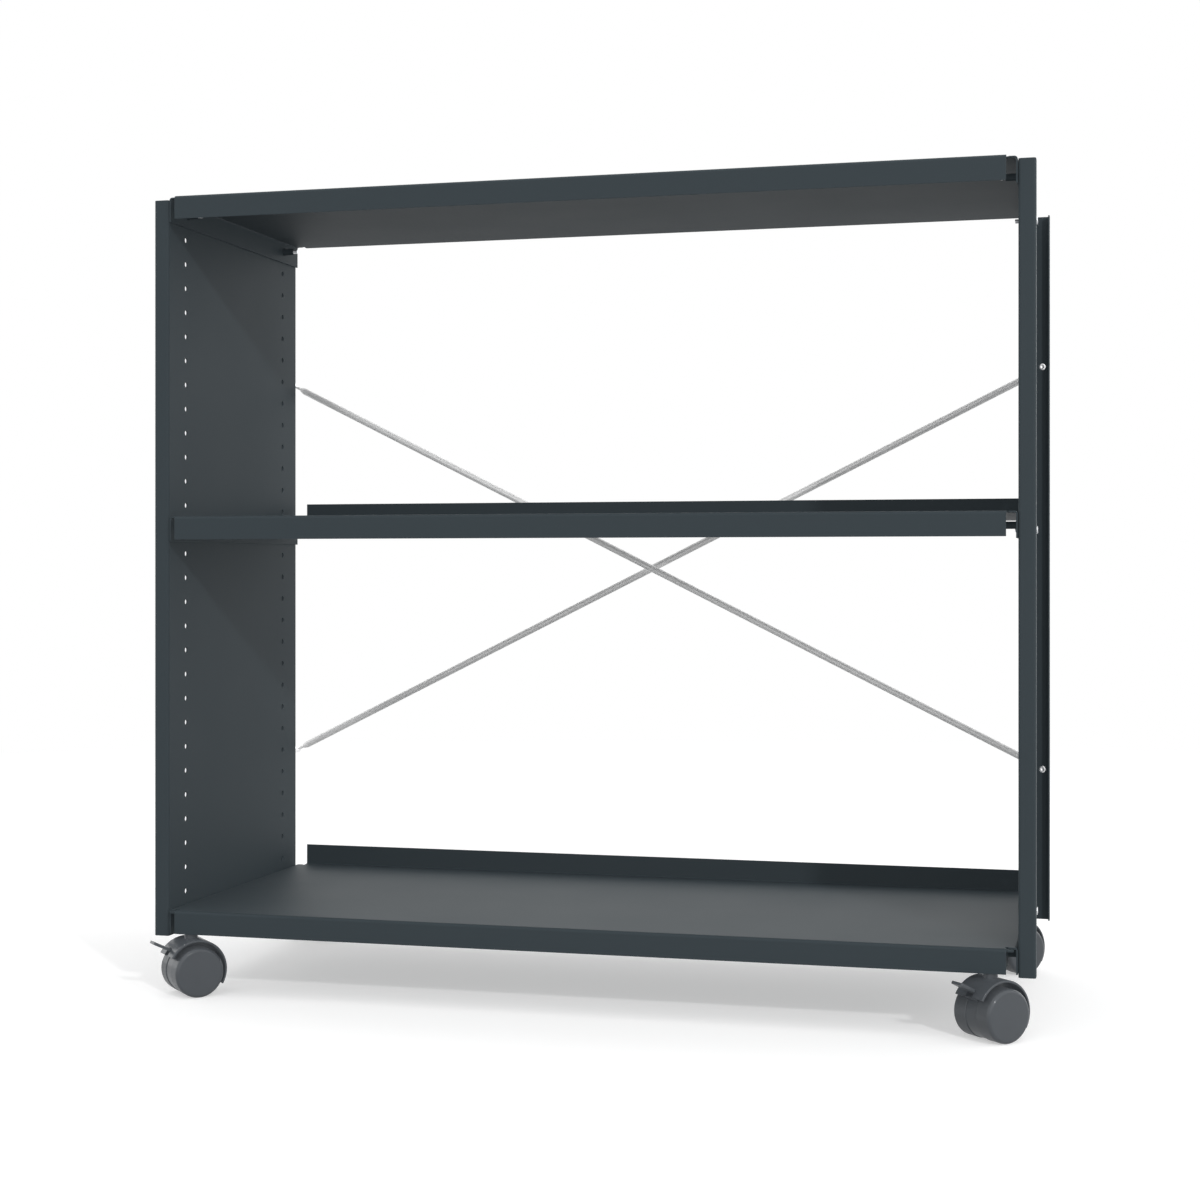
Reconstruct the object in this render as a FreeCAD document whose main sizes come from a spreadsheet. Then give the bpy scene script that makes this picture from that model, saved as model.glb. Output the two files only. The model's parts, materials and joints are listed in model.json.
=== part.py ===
import FreeCAD, Part
import Sketcher
import math
import os
import re

# Mobile sheet-steel shelf unit: two side panels, three folded shelves, two cross-brace rods and four
# braked twin-wheel casters. Millimetres, +Z up, the front faces -Y. The origin lies on the floor,
# under the middle of the panels.

SIZES = (
    # the unit
    ("clear_width", 850.0, "between the webs of the two side panels"),
    ("panel_height", 750.0, "side panel, bottom to top"),
    ("panel_depth", 325.0, "side panel, front to rear"),
    ("panel_flange", 16.0, "side panel, web inner face to outer edge"),
    ("panel_return", 12.0, "folded edge of each panel flange"),
    ("gauge", 1.5, "sheet of panels and shelves"),
    ("panel_bend", 2.5, "outer bend radius of the panels"),
    ("ride_height", 57.5, "floor to the bottom edge of the side panels"),
    # holes in the side panels
    ("hole_pitch", 25.0, "shelf holes, one above the other"),
    ("hole_count", 30, "shelf holes in one column"),
    ("hole_first", 15.0, "lowest shelf hole above the panel's bottom edge"),
    ("hole_dia", 5.5, "shelf hole"),
    ("hole_rows", 246.0, "front column to rear column"),
    ("brace_rise", 430.0, "lower brace hole to upper brace hole"),
    # shelves
    ("shelf_gap", 0.5, "shelf end to panel web, each side"),
    ("shelf_depth", 342.0, "front lip face to rear upstand face"),
    ("shelf_lip", 23.5, "front lip, from the shelf's top surface down"),
    ("shelf_upstand", 22.5, "rear upstand, above the shelf's top surface"),
    ("shelf_end_flange", 25.0, "end flange, from the shelf's top surface down"),
    ("shelf_end_setback", 9.0, "end flange behind the lip face"),
    ("shelf_corner_cut", 10.0, "lip and upstand end inside the shelf's end"),
    ("shelf_bend", 3.0, "outer bend radius of the shelves"),
    ("relief_dia", 4.0, "round relief at each folded corner"),
    ("middle_hole_count", 16, "holes below the one that holds the middle shelf"),
    # shelf screws
    ("screw_dia", 4.9, "shelf screw shank"),
    ("screw_fit", 0.05, "shank to threaded hole, radial"),
    ("screw_length", 20.0, "shelf screw below its head"),
    ("screw_head_dia", 8.5, "shelf screw head"),
    ("screw_head_height", 3.5, "shelf screw head"),
    ("screw_slot_width", 1.2, "slot in the screw head"),
    ("screw_slot_depth", 1.4, "slot in the screw head"),
    # cross brace
    ("rod_dia", 7.5, "brace rod"),
    ("rod_neck_dia", 3.0, "threaded end of the brace rod"),
    ("rod_neck_length", 5.5, "threaded end that shows between rod and pin"),
    ("rod_taper_length", 4.5, "tapered end of the brace rod"),
    ("rod_tip_dia", 4.0, "small end of that taper"),
    ("rod_clear", 1.4, "rear face of the shelves to the front rod"),
    ("rod_cross_gap", 0.5, "between the two rods where they cross"),
    ("pin_dia", 7.0, "brace pin"),
    ("pin_fit", 0.1, "brace pin to its hole, radial"),
    ("pin_proud", 0.5, "brace pin in front of the panel's rear flange"),
    ("pin_shoulder_dia", 9.5, "shoulder of the brace pin, behind the flange"),
    ("pin_shoulder_length", 2.0, "shoulder of the brace pin"),
    ("thread_fit", 0.05, "threaded shank to threaded hole, radial"),
    # caster brackets
    ("caster_inset", 25.0, "stem to the web of the side panel beside it"),
    ("caster_setback", 8.5, "stem to the face of the bottom shelf's lip or upstand"),
    ("bracket_gauge", 2.0, "sheet of the caster brackets"),
    ("bracket_width", 28.0, "channel of the caster bracket"),
    ("bracket_flange", 7.0, "welding flange of the caster bracket"),
    ("bracket_length", 38.0, "caster bracket, front to rear"),
    ("bracket_bottom", 6.0, "bracket's underside above the panels' bottom edge"),
    ("bracket_clear", 2.0, "bracket to the inner face of the shelf's lip"),
    ("bush_dia", 12.0, "threaded bush in the bracket"),
    ("bush_length", 16.0, "threaded bush"),
    # caster stem
    ("stem_thread_dia", 8.0, "upper, threaded part of the stem"),
    ("stem_thread_length", 15.0, "upper, threaded part of the stem"),
    ("collar_dia", 13.4, "collar of the stem and boss of the housing"),
    ("thrust_gap", 0.1, "collar to boss"),
    ("boss_top", 4.0, "top of the housing's boss, from the panels' bottom edge"),
    ("stem_pin_dia", 8.0, "lower, smooth part of the stem"),
    ("stem_pin_end", -26.5, "lower end of the stem, from the panels' bottom edge"),
    ("running_fit", 0.05, "shaft to bore, radial"),
    ("ring_height", -22.0, "retaining ring's top, from the panels' bottom edge"),
    ("ring_thickness", 1.0, "retaining ring"),
    ("ring_outer_dia", 10.0, "retaining ring"),
    ("ring_groove_dia", 6.6, "groove in the stem"),
    ("ring_slit", 2.0, "opening of the retaining ring"),
    # caster housing
    ("caster_heading", -45.0, "direction of every caster's axle, from +X"),
    ("hood_radius", 31.0, "outside of the hood"),
    ("hood_wall", 2.0, "wall of the hood"),
    ("hood_width", 37.5, "hood along the axle"),
    ("hood_offset", 0.5, "hood centre behind the stem"),
    ("hood_centre", -31.3, "hood centre, from the panels' bottom edge"),
    ("hood_back_angle", 30.0, "hood's rear end below horizontal"),
    ("hood_front_angle", 30.0, "hood's front end above horizontal"),
    ("hood_round", 0.8, "rounding of the hood's side edges"),
    ("core_width", 13.4, "middle body between the wheels"),
    ("core_step", 0.6, "middle body inside the wheels' radius"),
    # wheels
    ("wheel_dia", 50.0, "twin wheel"),
    ("wheel_trail", 1.0, "axle behind the stem"),
    ("wheel_gap", 0.4, "wheel to middle body"),
    ("wheel_outer_face", 25.0, "wheel's outer face from the caster's middle"),
    ("wheel_rim", 4.0, "rim of the wheel"),
    ("wheel_web", 3.0, "closed outer disc of the wheel"),
    ("wheel_hub_dia", 14.0, "hub of the wheel"),
    ("wheel_round", 3.5, "rounding of the wheel's outer edge"),
    ("axle_dia", 6.0, "axle"),
    ("axle_end_gap", 0.5, "axle's end to the wheel's closed disc"),
    # brake lever
    ("lever_angle", 26.3, "released lever above horizontal"),
    ("lever_reach", 32.0, "lever pin to lever tip"),
    ("lever_width", 15.0, "blade of the lever"),
    ("lever_tongue", 8.0, "tongue of the lever, inside the housing"),
    ("lever_thickness", 2.8, "blade of the lever"),
    ("lever_blade_start", 14.2, "lever pin to the wide part of the blade"),
    ("lever_boss_dia", 5.2, "boss of the lever at its pin"),
    ("lever_tip_round", 2.0, "corners of the lever's tip"),
    ("lever_pin_dia", 3.0, "lever pin"),
    ("lever_pin_front", 12.0, "lever pin in front of the stem"),
    ("lever_pin_drop", 15.8, "lever pin below the panels' bottom edge"),
    ("lever_side_gap", 0.3, "tongue to the sides of its slot"),
    ("lever_boss_gap", 0.4, "lever boss to its slot"),
    ("slot_top", -9.1, "top of the lever's slot, from the panels' bottom edge"),
    ("slot_floor", -17.1, "floor of the slot inside the hood"),
    ("slot_floor_reach", 7.0, "that floor's front end in front of the lever pin"),
    ("slot_sill", -16.3, "lower edge of the slot through the hood"),
)

SHELF_LEVELS = ("bottom", "middle", "top")
SIDES = (("left", -1), ("right", 1))
ENDS = (("front", -1), ("rear", 1))

X_AXIS = FreeCAD.Vector(1, 0, 0)
Y_AXIS = FreeCAD.Vector(0, 1, 0)
Z_AXIS = FreeCAD.Vector(0, 0, 1)
DIAGONAL = FreeCAD.Vector(1, 1, 1)
QUARTER_TURN = 90
HALF_TURN = 180
THIRD_TURN = 120
ALONG_X = FreeCAD.Rotation(Y_AXIS, QUARTER_TURN)
ALONG_Y = FreeCAD.Rotation(X_AXIS, -QUARTER_TURN)
UPRIGHT = FreeCAD.Rotation()
CUT_MARGIN = 1.0
NEAR = 1e-4

doc = FreeCAD.newDocument("mobile_shelf_unit")
sheet = doc.addObject("Spreadsheet::Sheet", "sizes")
for row, (alias, value, meaning) in enumerate(SIZES, start=1):
    sheet.set("A%d" % row, meaning)
    sheet.set("B%d" % row, str(value))
    sheet.setAlias("B%d" % row, alias)
doc.recompute()

ALIASES = [alias for alias, value, meaning in SIZES]
ALIAS_PATTERN = re.compile(r"\b(" + "|".join(ALIASES) + r")\b")
nodes = []


# ---------------------------------------------------------------- helpers

def size(alias):
    """The number in the sheet's cell of this name."""
    return float(sheet.get(alias))


def bound(text):
    """An expression in which each size's name points at its cell."""
    return ALIAS_PATTERN.sub(r"sizes.\1", text)


def bind(obj, **expressions):
    for prop, text in expressions.items():
        obj.setExpression(prop, bound(text))


def place(obj, x="0", y="0", z="0", rotation=UPRIGHT):
    obj.Placement = FreeCAD.Placement(FreeCAD.Vector(), rotation)
    obj.setExpression("Placement.Base.x", bound(x))
    obj.setExpression("Placement.Base.y", bound(y))
    obj.setExpression("Placement.Base.z", bound(z))
    return obj


def box(name, length, width, height, x, y, z):
    obj = doc.addObject("Part::Box", name)
    bind(obj, Length=length, Width=width, Height=height)
    return place(obj, x, y, z)


def cylinder(name, radius, height, x="0", y="0", z="0", rotation=UPRIGHT):
    obj = doc.addObject("Part::Cylinder", name)
    bind(obj, Radius=radius, Height=height)
    return place(obj, x, y, z, rotation)


def fuse(name, parts):
    obj = doc.addObject("Part::MultiFuse", name)
    obj.Shapes = parts
    obj.Refine = True
    return obj


def cut(name, base, tools):
    obj = doc.addObject("Part::Cut", name)
    obj.Base = base
    obj.Tool = tools[0] if len(tools) == 1 else fuse(name + "_tools", tools)
    obj.Refine = True
    return obj


def group(name, parts):
    obj = doc.addObject("Part::Compound", name)
    obj.Links = parts
    return obj


def round_edges(name, base, alias, wanted):
    """A Part::Fillet of the named size on the edges that wanted() picks."""
    doc.recompute()
    radius = size(alias)
    obj = doc.addObject("Part::Fillet", name)
    obj.Base = base
    edges = enumerate(base.Shape.Edges, start=1)
    obj.Edges = [(number, radius, radius) for number, edge in edges if wanted(edge)]
    return obj


def node(obj, label):
    """Registers a finished sub-part under its own label."""
    obj.Label = label
    nodes.append(obj)
    return obj


def origin_plane(body, role):
    return [plane for plane in body.Origin.OriginFeatures if plane.Role == role][0]


def new_sketch(body, name, role):
    sketch = body.newObject("Sketcher::SketchObject", name)
    sketch.AttachmentSupport = [(origin_plane(body, role), "")]
    sketch.MapMode = "FlatFace"
    return sketch


def pin_down(sketch, geometry, point, x, y):
    """Ties one point of the sketch to two expressions, from the sketch's origin."""
    for kind, text in (("DistanceX", x), ("DistanceY", y)):
        number = sketch.addConstraint(Sketcher.Constraint(kind, -1, 1, geometry, point, 1.0))
        sketch.setExpression("Constraints[%d]" % number, bound(text))


def outline(body, name, role, points):
    """A closed sketch of straight lines through points, each a pair of expressions."""
    sketch = new_sketch(body, name, role)
    corners = [FreeCAD.Vector(value_of(x), value_of(y), 0) for x, y in points]
    following = corners[1:] + corners[:1]
    for start, end in zip(corners, following):
        sketch.addGeometry(Part.LineSegment(start, end), False)
    count = len(points)
    for number in range(count):
        sketch.addConstraint(Sketcher.Constraint("Coincident", number, 2, (number + 1) % count, 1))
    for number, (x, y) in enumerate(points):
        pin_down(sketch, number, 1, x, y)
    return sketch


def ring_sketch(body, name, role, circles):
    """A sketch of circles, each a centre as two expressions and a diameter."""
    sketch = new_sketch(body, name, role)
    for number, (x, y, diameter) in enumerate(circles):
        centre = FreeCAD.Vector(value_of(x), value_of(y), 0)
        circle = Part.Circle(centre, Z_AXIS, value_of(diameter) / 2)
        sketch.addGeometry(circle, False)
        pin_down(sketch, number, 3, x, y)
        limit = sketch.addConstraint(Sketcher.Constraint("Diameter", number, 1.0))
        sketch.setExpression("Constraints[%d]" % limit, bound(diameter))
    return sketch


def value_of(text):
    """The number that an expression of size names comes to."""
    return float(sheet.evalExpression(bound(text)))


def extrude(body, name, sketch, length):
    """A pad to both sides of the sketch's plane."""
    pad = body.newObject("PartDesign::Pad", name)
    pad.Profile = sketch
    pad.Midplane = True
    bind(pad, Length=length)
    doc.recompute()
    return pad


def fillet_body(body, name, base, radius, wanted):
    edges = enumerate(base.Shape.Edges, start=1)
    names = ["Edge%d" % number for number, edge in edges if wanted(edge)]
    fillet = body.newObject("PartDesign::Fillet", name)
    fillet.Base = (base, names)
    bind(fillet, Radius=radius)
    doc.recompute()
    return fillet


def parallel(edge, axis):
    """True for a straight edge along this axis."""
    if edge.Curve.TypeId != "Part::GeomLine":
        return False
    return abs(abs(edge.Curve.Direction.dot(axis)) - 1) < NEAR


def near(first, second):
    return abs(first - second) < NEAR


def turned_outline(label, points, axis="H_Axis"):
    """A body made by turning an outline in its XZ plane about the sketch's X axis."""
    body = doc.addObject("PartDesign::Body", label)
    sketch = outline(body, label + "_outline", "XZ_Plane", points)
    turned = body.newObject("PartDesign::Revolution", label + "_turned")
    turned.Profile = sketch
    turned.ReferenceAxis = (sketch, [axis])
    turned.Angle = 2 * HALF_TURN
    doc.recompute()
    return body, turned


# ---------------------------------------------------------------- side panels

def side_panel(side, sign):
    """A channel, open outward, with two columns of shelf holes and two brace holes at the rear.

    Its own frame starts at the web's inner face, with +X pointing outward.
    """
    label = "side_panel_" + side
    body = doc.addObject("PartDesign::Body", label)
    half = "panel_depth/2"
    inner = "(panel_depth/2 - gauge)"
    lip = "(panel_depth/2 - panel_return)"
    edge = "(panel_flange - gauge)"
    points = [("0", "-" + half), ("panel_flange", "-" + half), ("panel_flange", "-" + lip)]
    points += [(edge, "-" + lip), (edge, "-" + inner), ("gauge", "-" + inner)]
    points += [(x, y[1:]) for x, y in reversed(points)]
    section = outline(body, label + "_section", "XY_Plane", points)
    pad = body.newObject("PartDesign::Pad", label + "_pad")
    pad.Profile = section
    bind(pad, Length="panel_height")
    doc.recompute()

    flange = size("panel_flange")
    depth = size("panel_depth") / 2
    gauge = size("gauge")

    def outer_bend(item):
        if not parallel(item, Z_AXIS):
            return False
        x, y = item.Vertexes[0].X, abs(item.Vertexes[0].Y)
        return near(y, depth) and (near(x, 0) or near(x, flange))

    def inner_bend(item):
        if not parallel(item, Z_AXIS):
            return False
        x, y = item.Vertexes[0].X, abs(item.Vertexes[0].Y)
        return near(y, depth - gauge) and (near(x, gauge) or near(x, flange - gauge))

    outer = fillet_body(body, label + "_outer_bends", pad, "panel_bend", outer_bend)
    fillet_body(body, label + "_inner_bends", outer, "panel_bend - gauge", inner_bend)

    for end, end_sign in ENDS:
        drill_shelf_holes(body, label + "_holes_" + end, "%d*hole_rows/2" % end_sign)
    drill_brace_holes(body, label + "_brace_holes", sign)
    turn = UPRIGHT if sign > 0 else FreeCAD.Rotation(Z_AXIS, HALF_TURN)
    place(body, "%d*clear_width/2" % sign, "0", "ride_height", turn)
    return node(body, label)


def drill(body, name, sketch, reverse=False, both=False):
    """A pocket through the whole body; raises if nothing was cut."""
    before = body.Shape.Volume
    pocket = body.newObject("PartDesign::Pocket", name)
    pocket.Profile = sketch
    pocket.Type = 1
    pocket.Reversed = reverse
    pocket.Midplane = both
    doc.recompute()
    if not pocket.Shape.Volume < before - NEAR:
        raise RuntimeError(name + " cuts nothing")
    return pocket


def drill_shelf_holes(body, name, y):
    sketch = ring_sketch(body, name + "_circle", "YZ_Plane", [(y, "hole_first", "hole_dia")])
    pocket = drill(body, name, sketch, both=True)
    pattern = body.newObject("PartDesign::LinearPattern", name + "_column")
    pattern.Originals = [pocket]
    pattern.Direction = (origin_axis(body, "Z_Axis"), [""])
    bind(pattern, Length="hole_pitch*(hole_count - 1)", Occurrences="hole_count")
    body.Tip = pattern
    doc.recompute()


def origin_axis(body, role):
    return [axis for axis in body.Origin.OriginFeatures if axis.Role == role][0]


def drill_brace_holes(body, name, sign):
    """Two holes through the rear flange, which is the +Y side of the right-hand panel."""
    middle = "panel_height/2"
    diameter = "pin_dia + 2*pin_fit"
    circles = [("panel_flange/2", middle + " - brace_rise/2", diameter)]
    circles += [("panel_flange/2", middle + " + brace_rise/2", diameter)]
    sketch = ring_sketch(body, name + "_circles", "XZ_Plane", circles)
    drill(body, name, sketch, reverse=sign < 0)


# ---------------------------------------------------------------- shelves

def shelf(level):
    """A folded tray; its own frame lies on the axis of its screws, under its middle."""
    label = "shelf_" + level
    body = doc.addObject("PartDesign::Body", label)
    top = "(shelf_end_flange/2)"
    under = "(shelf_end_flange/2 - gauge)"
    front = "(-shelf_depth/2)"
    rear = "(shelf_depth/2)"
    lip_bottom = "(shelf_end_flange/2 - shelf_lip)"
    upstand_top = "(shelf_end_flange/2 + shelf_upstand)"
    profile = [(front, lip_bottom), (front + " + gauge", lip_bottom), (front + " + gauge", under)]
    profile += [(rear, under), (rear, upstand_top), (rear + " - gauge", upstand_top)]
    profile += [(rear + " - gauge", top), (front, top)]
    side = outline(body, label + "_lips", "YZ_Plane", profile)
    half_length = "(clear_width/2 - shelf_gap)"
    lips = extrude(body, label + "_lip_pad", side, "2*(%s - shelf_corner_cut)" % half_length)

    depth = size("shelf_depth") / 2
    gauge = size("gauge")
    high = size("shelf_end_flange") / 2
    low = high - gauge

    def outer_bend(item):
        y, z = item.Vertexes[0].Y, item.Vertexes[0].Z
        front_bend = near(y, -depth) and near(z, high)
        rear_bend = near(y, depth) and near(z, low)
        return parallel(item, X_AXIS) and (front_bend or rear_bend)

    def inner_bend(item):
        y, z = item.Vertexes[0].Y, item.Vertexes[0].Z
        front_bend = near(y, gauge - depth) and near(z, low)
        rear_bend = near(y, depth - gauge) and near(z, high)
        return parallel(item, X_AXIS) and (front_bend or rear_bend)

    outer = fillet_body(body, label + "_outer_bends", lips, "shelf_bend", outer_bend)
    fillet_body(body, label + "_inner_bends", outer, "shelf_bend - gauge", inner_bend)

    bottom = "(-shelf_end_flange/2)"
    inside = "(clear_width/2 - shelf_gap - gauge)"
    tray = [("-" + half_length, bottom), ("-" + inside, bottom), ("-" + inside, under)]
    tray += [(inside, under), (inside, bottom), (half_length, bottom)]
    tray += [(half_length, top), ("-" + half_length, top)]
    ends = outline(body, label + "_ends", "XZ_Plane", tray)
    length = "shelf_depth - 2*shelf_end_setback"
    flanges = extrude(body, label + "_end_pad", ends, length)

    reach = size("clear_width") / 2 - size("shelf_gap")

    def outer_end(item):
        x, z = abs(item.Vertexes[0].X), item.Vertexes[0].Z
        return parallel(item, Y_AXIS) and near(x, reach) and near(z, high)

    def inner_end(item):
        x, z = abs(item.Vertexes[0].X), item.Vertexes[0].Z
        return parallel(item, Y_AXIS) and near(x, reach - gauge) and near(z, low)

    outer = fillet_body(body, label + "_end_bends", flanges, "shelf_bend", outer_end)
    fillet_body(body, label + "_end_insides", outer, "shelf_bend - gauge", inner_end)

    relief = []
    for side_name, x_sign in SIDES:
        for end, y_sign in ENDS:
            x = "%d*(%s - shelf_corner_cut)" % (x_sign, half_length)
            y = "%d*(shelf_depth/2 - shelf_end_setback)" % y_sign
            relief.append((x, y, "relief_dia"))
    drill(body, label + "_reliefs", ring_sketch(body, label + "_relief_circles", "XY_Plane", relief),
          both=True)
    hole = "screw_dia + 2*screw_fit"
    screws = [("%d*hole_rows/2" % y_sign, "0", hole) for end, y_sign in ENDS]
    drill(body, label + "_screw_holes", ring_sketch(body, label + "_screw_circles", "YZ_Plane", screws),
          both=True)
    place(body, z=level_height(level))
    return node(body, label)


def level_height(level):
    """Height of the screws of this shelf above the floor."""
    below = {"bottom": "0", "middle": "middle_hole_count", "top": "(hole_count - 1)"}[level]
    return "ride_height + hole_first + hole_pitch*" + below


def shelf_screws(level):
    """Four slotted cheese-head screws, one group for each shelf."""
    label = "shelf_screws_" + level
    screws = []
    for side, x_sign in SIDES:
        for end, y_sign in ENDS:
            name = "%s_%s_%s" % (label, side, end)
            screws.append(shelf_screw(name, x_sign, y_sign, level_height(level)))
    return node(group(label, screws), label)


def shelf_screw(name, x_sign, y_sign, z):
    """The head rests on the web's outer face and the shank points inward."""
    shank = cylinder(name + "_shank", "screw_dia/2", "screw_length", rotation=ALONG_X)
    place(shank, "-screw_length", rotation=ALONG_X)
    head = cylinder(name + "_head", "screw_head_dia/2", "screw_head_height", rotation=ALONG_X)
    slot = box(name + "_slot", "screw_slot_depth + %g" % CUT_MARGIN, "screw_slot_width",
               "screw_head_dia + %g" % (2 * CUT_MARGIN), "screw_head_height - screw_slot_depth",
               "-screw_slot_width/2", "-screw_head_dia/2 - %g" % CUT_MARGIN)
    screw = cut(name, fuse(name + "_turned", [shank, head]), [slot])
    turn = UPRIGHT if x_sign > 0 else FreeCAD.Rotation(Z_AXIS, HALF_TURN)
    place(screw, "%d*(clear_width/2 + gauge)" % x_sign, "%d*hole_rows/2" % y_sign, z, turn)
    return screw


# ---------------------------------------------------------------- cross brace

BRACES = (("falling", 1), ("rising", -1))


def brace_plane(name):
    """Distance of a rod's axis behind the middle of the unit; the falling rod is the front one.

    Both rods pass behind the shelves and behind the shoulders of the pins.
    """
    front = "max(shelf_depth/2; panel_depth/2 + pin_shoulder_length) + rod_clear + rod_dia/2"
    if name == "falling":
        return front
    return front + " + rod_dia + rod_cross_gap"


def brace_rod(name, slope):
    """A round rod that tapers to a thin threaded end at each side, screwed into the brace pins."""
    label = "brace_rod_" + name
    run = "(clear_width/2 + panel_flange/2)"
    between_pins = "sqrt(%s*%s*4 + brace_rise*brace_rise)" % (run, run)
    half = "(%s/2)" % between_pins
    tip = "(%s - pin_dia/2 - rod_neck_length)" % half
    neck_end = "(%s - pin_dia/4)" % half
    full = "(%s - rod_taper_length)" % tip
    points = [("-" + neck_end, "0"), (neck_end, "0"), (neck_end, "rod_neck_dia/2")]
    points += [(tip, "rod_neck_dia/2"), (tip, "rod_tip_dia/2"), (full, "rod_dia/2")]
    points += [("-" + full, "rod_dia/2"), ("-" + tip, "rod_tip_dia/2")]
    points += [("-" + tip, "rod_neck_dia/2"), ("-" + neck_end, "rod_neck_dia/2")]
    body, turned = turned_outline(label, points)
    tilt = math.degrees(math.atan2(size("brace_rise"), 2 * value_of(run)))
    place(body, "0", brace_plane(name), "ride_height + panel_height/2",
          FreeCAD.Rotation(Y_AXIS, slope * tilt))
    return node(body, label)


def brace_pins(name, slope):
    """The two pins of one rod, riveted through the rear flanges of the panels."""
    label = "brace_pins_" + name
    tilt = math.degrees(math.atan2(size("brace_rise"), 2 * value_of("clear_width/2 + panel_flange/2")))
    pins = []
    for side, x_sign in SIDES:
        pin = label + "_" + side
        flange_rear = "panel_depth/2"
        tail_end = "(%s + pin_dia/2)" % brace_plane(name)
        start = "(panel_depth/2 - gauge - pin_proud)"
        x = "%d*(clear_width/2 + panel_flange/2)" % x_sign
        z = "ride_height + panel_height/2 - %d*brace_rise/2" % (x_sign * slope)
        shank = cylinder(pin + "_shank", "pin_dia/2", tail_end + " - " + start, x, start, z, ALONG_Y)
        shoulder = cylinder(pin + "_shoulder", "pin_shoulder_dia/2", "pin_shoulder_length",
                            x, flange_rear, z, ALONG_Y)
        turn = FreeCAD.Rotation(Y_AXIS, slope * tilt + x_sign * -QUARTER_TURN)
        hole = cylinder(pin + "_hole", "rod_neck_dia/2 + thread_fit", "pin_dia",
                        x, brace_plane(name), z, turn)
        pins.append(cut(pin, fuse(pin + "_turned", [shank, shoulder]), [hole]))
    return node(group(label, pins), label)


# ---------------------------------------------------------------- caster brackets

def caster_x(x_sign):
    """Where the casters of one side stand, beside that side's panel."""
    return "%d*(clear_width/2 - caster_inset)" % x_sign


def caster_y(y_sign):
    """Where the front or the rear casters stand, behind the lip or in front of the upstand."""
    return "%d*(shelf_depth/2 - caster_setback)" % y_sign


def caster_bracket(end, y_sign, side, x_sign):
    """A short hat channel, welded under the bottom shelf, that carries one caster's bush."""
    label = "caster_bracket_%s_%s" % (end, side)
    top = "(hole_first + shelf_end_flange/2 - gauge)"
    tall = "(%s - bracket_bottom)" % top
    wide = "(bracket_width + 2*bracket_flange)"
    start = "-bracket_length/2"
    outer = box(label + "_channel", "bracket_width", "bracket_length", tall,
                "-bracket_width/2", start, "bracket_bottom")
    flange = box(label + "_flanges", wide, "bracket_length", "bracket_gauge",
                 "-%s/2" % wide, start, top + " - bracket_gauge")
    inner = box(label + "_inside", "bracket_width - 2*bracket_gauge",
                "bracket_length + %g" % (2 * CUT_MARGIN), tall,
                "-bracket_width/2 + bracket_gauge", start + " - %g" % CUT_MARGIN,
                "bracket_bottom + bracket_gauge")
    edge_y = "%d*(shelf_depth/2 - gauge - bracket_clear)" % y_sign
    centre_y = "(%s - %d*bracket_length/2)" % (edge_y, y_sign)
    stem_y = "%s - %s" % (caster_y(y_sign), centre_y)
    hole = cylinder(label + "_hole", "bush_dia/2 + thread_fit", "bracket_gauge + %g" % (2 * CUT_MARGIN),
                    "0", stem_y, "bracket_bottom - %g" % CUT_MARGIN)
    bracket = cut(label, fuse(label + "_hat", [outer, flange]), [inner, hole])
    place(bracket, caster_x(x_sign), centre_y, "ride_height")
    return node(bracket, label)


def caster_bushes():
    """The four threaded bushes, one group."""
    bushes = []
    for end, y_sign in ENDS:
        for side, x_sign in SIDES:
            name = "caster_bush_%s_%s" % (end, side)
            outer = cylinder(name + "_outer", "bush_dia/2", "bush_length", z="bracket_bottom")
            bore = cylinder(name + "_bore", "stem_thread_dia/2 + thread_fit",
                            "bush_length + %g" % (2 * CUT_MARGIN),
                            z="bracket_bottom - %g" % CUT_MARGIN)
            bush = cut(name, outer, [bore])
            place(bush, caster_x(x_sign), caster_y(y_sign), "ride_height")
            bushes.append(bush)
    return node(group("caster_bushes", bushes), "caster_bushes")


# ---------------------------------------------------------------- casters
# Each caster has a frame of its own: X along the axle, -Y towards the brake lever, and Z = 0 level
# with the panels' bottom edge, on the stem's axis.

def caster_heading():
    return FreeCAD.Rotation(Z_AXIS, size("caster_heading"))


def at_caster(obj, x_sign, y_sign):
    return place(obj, caster_x(x_sign), caster_y(y_sign), "ride_height", caster_heading())


def wheel_centre_height():
    return "(wheel_dia/2 - ride_height)"


def caster_stem(name):
    """Threaded top, collar and smooth pin with a groove for the retaining ring."""
    collar_bottom = "(boss_top + thrust_gap)"
    thread = cylinder(name + "_thread", "stem_thread_dia/2", "stem_thread_length", z="bracket_bottom")
    collar = cylinder(name + "_collar", "collar_dia/2", "bracket_bottom - " + collar_bottom,
                      z=collar_bottom)
    pin = cylinder(name + "_pin", "stem_pin_dia/2", collar_bottom + " - stem_pin_end", z="stem_pin_end")
    groove_outer = cylinder(name + "_groove_outer", "ring_outer_dia/2", "ring_thickness",
                            z="ring_height - ring_thickness")
    groove_core = cylinder(name + "_groove_core", "ring_groove_dia/2",
                           "ring_thickness + %g" % (2 * CUT_MARGIN),
                           z="ring_height - ring_thickness - %g" % CUT_MARGIN)
    groove = cut(name + "_groove", groove_outer, [groove_core])
    return cut(name, fuse(name + "_turned", [thread, collar, pin]), [groove])


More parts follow.
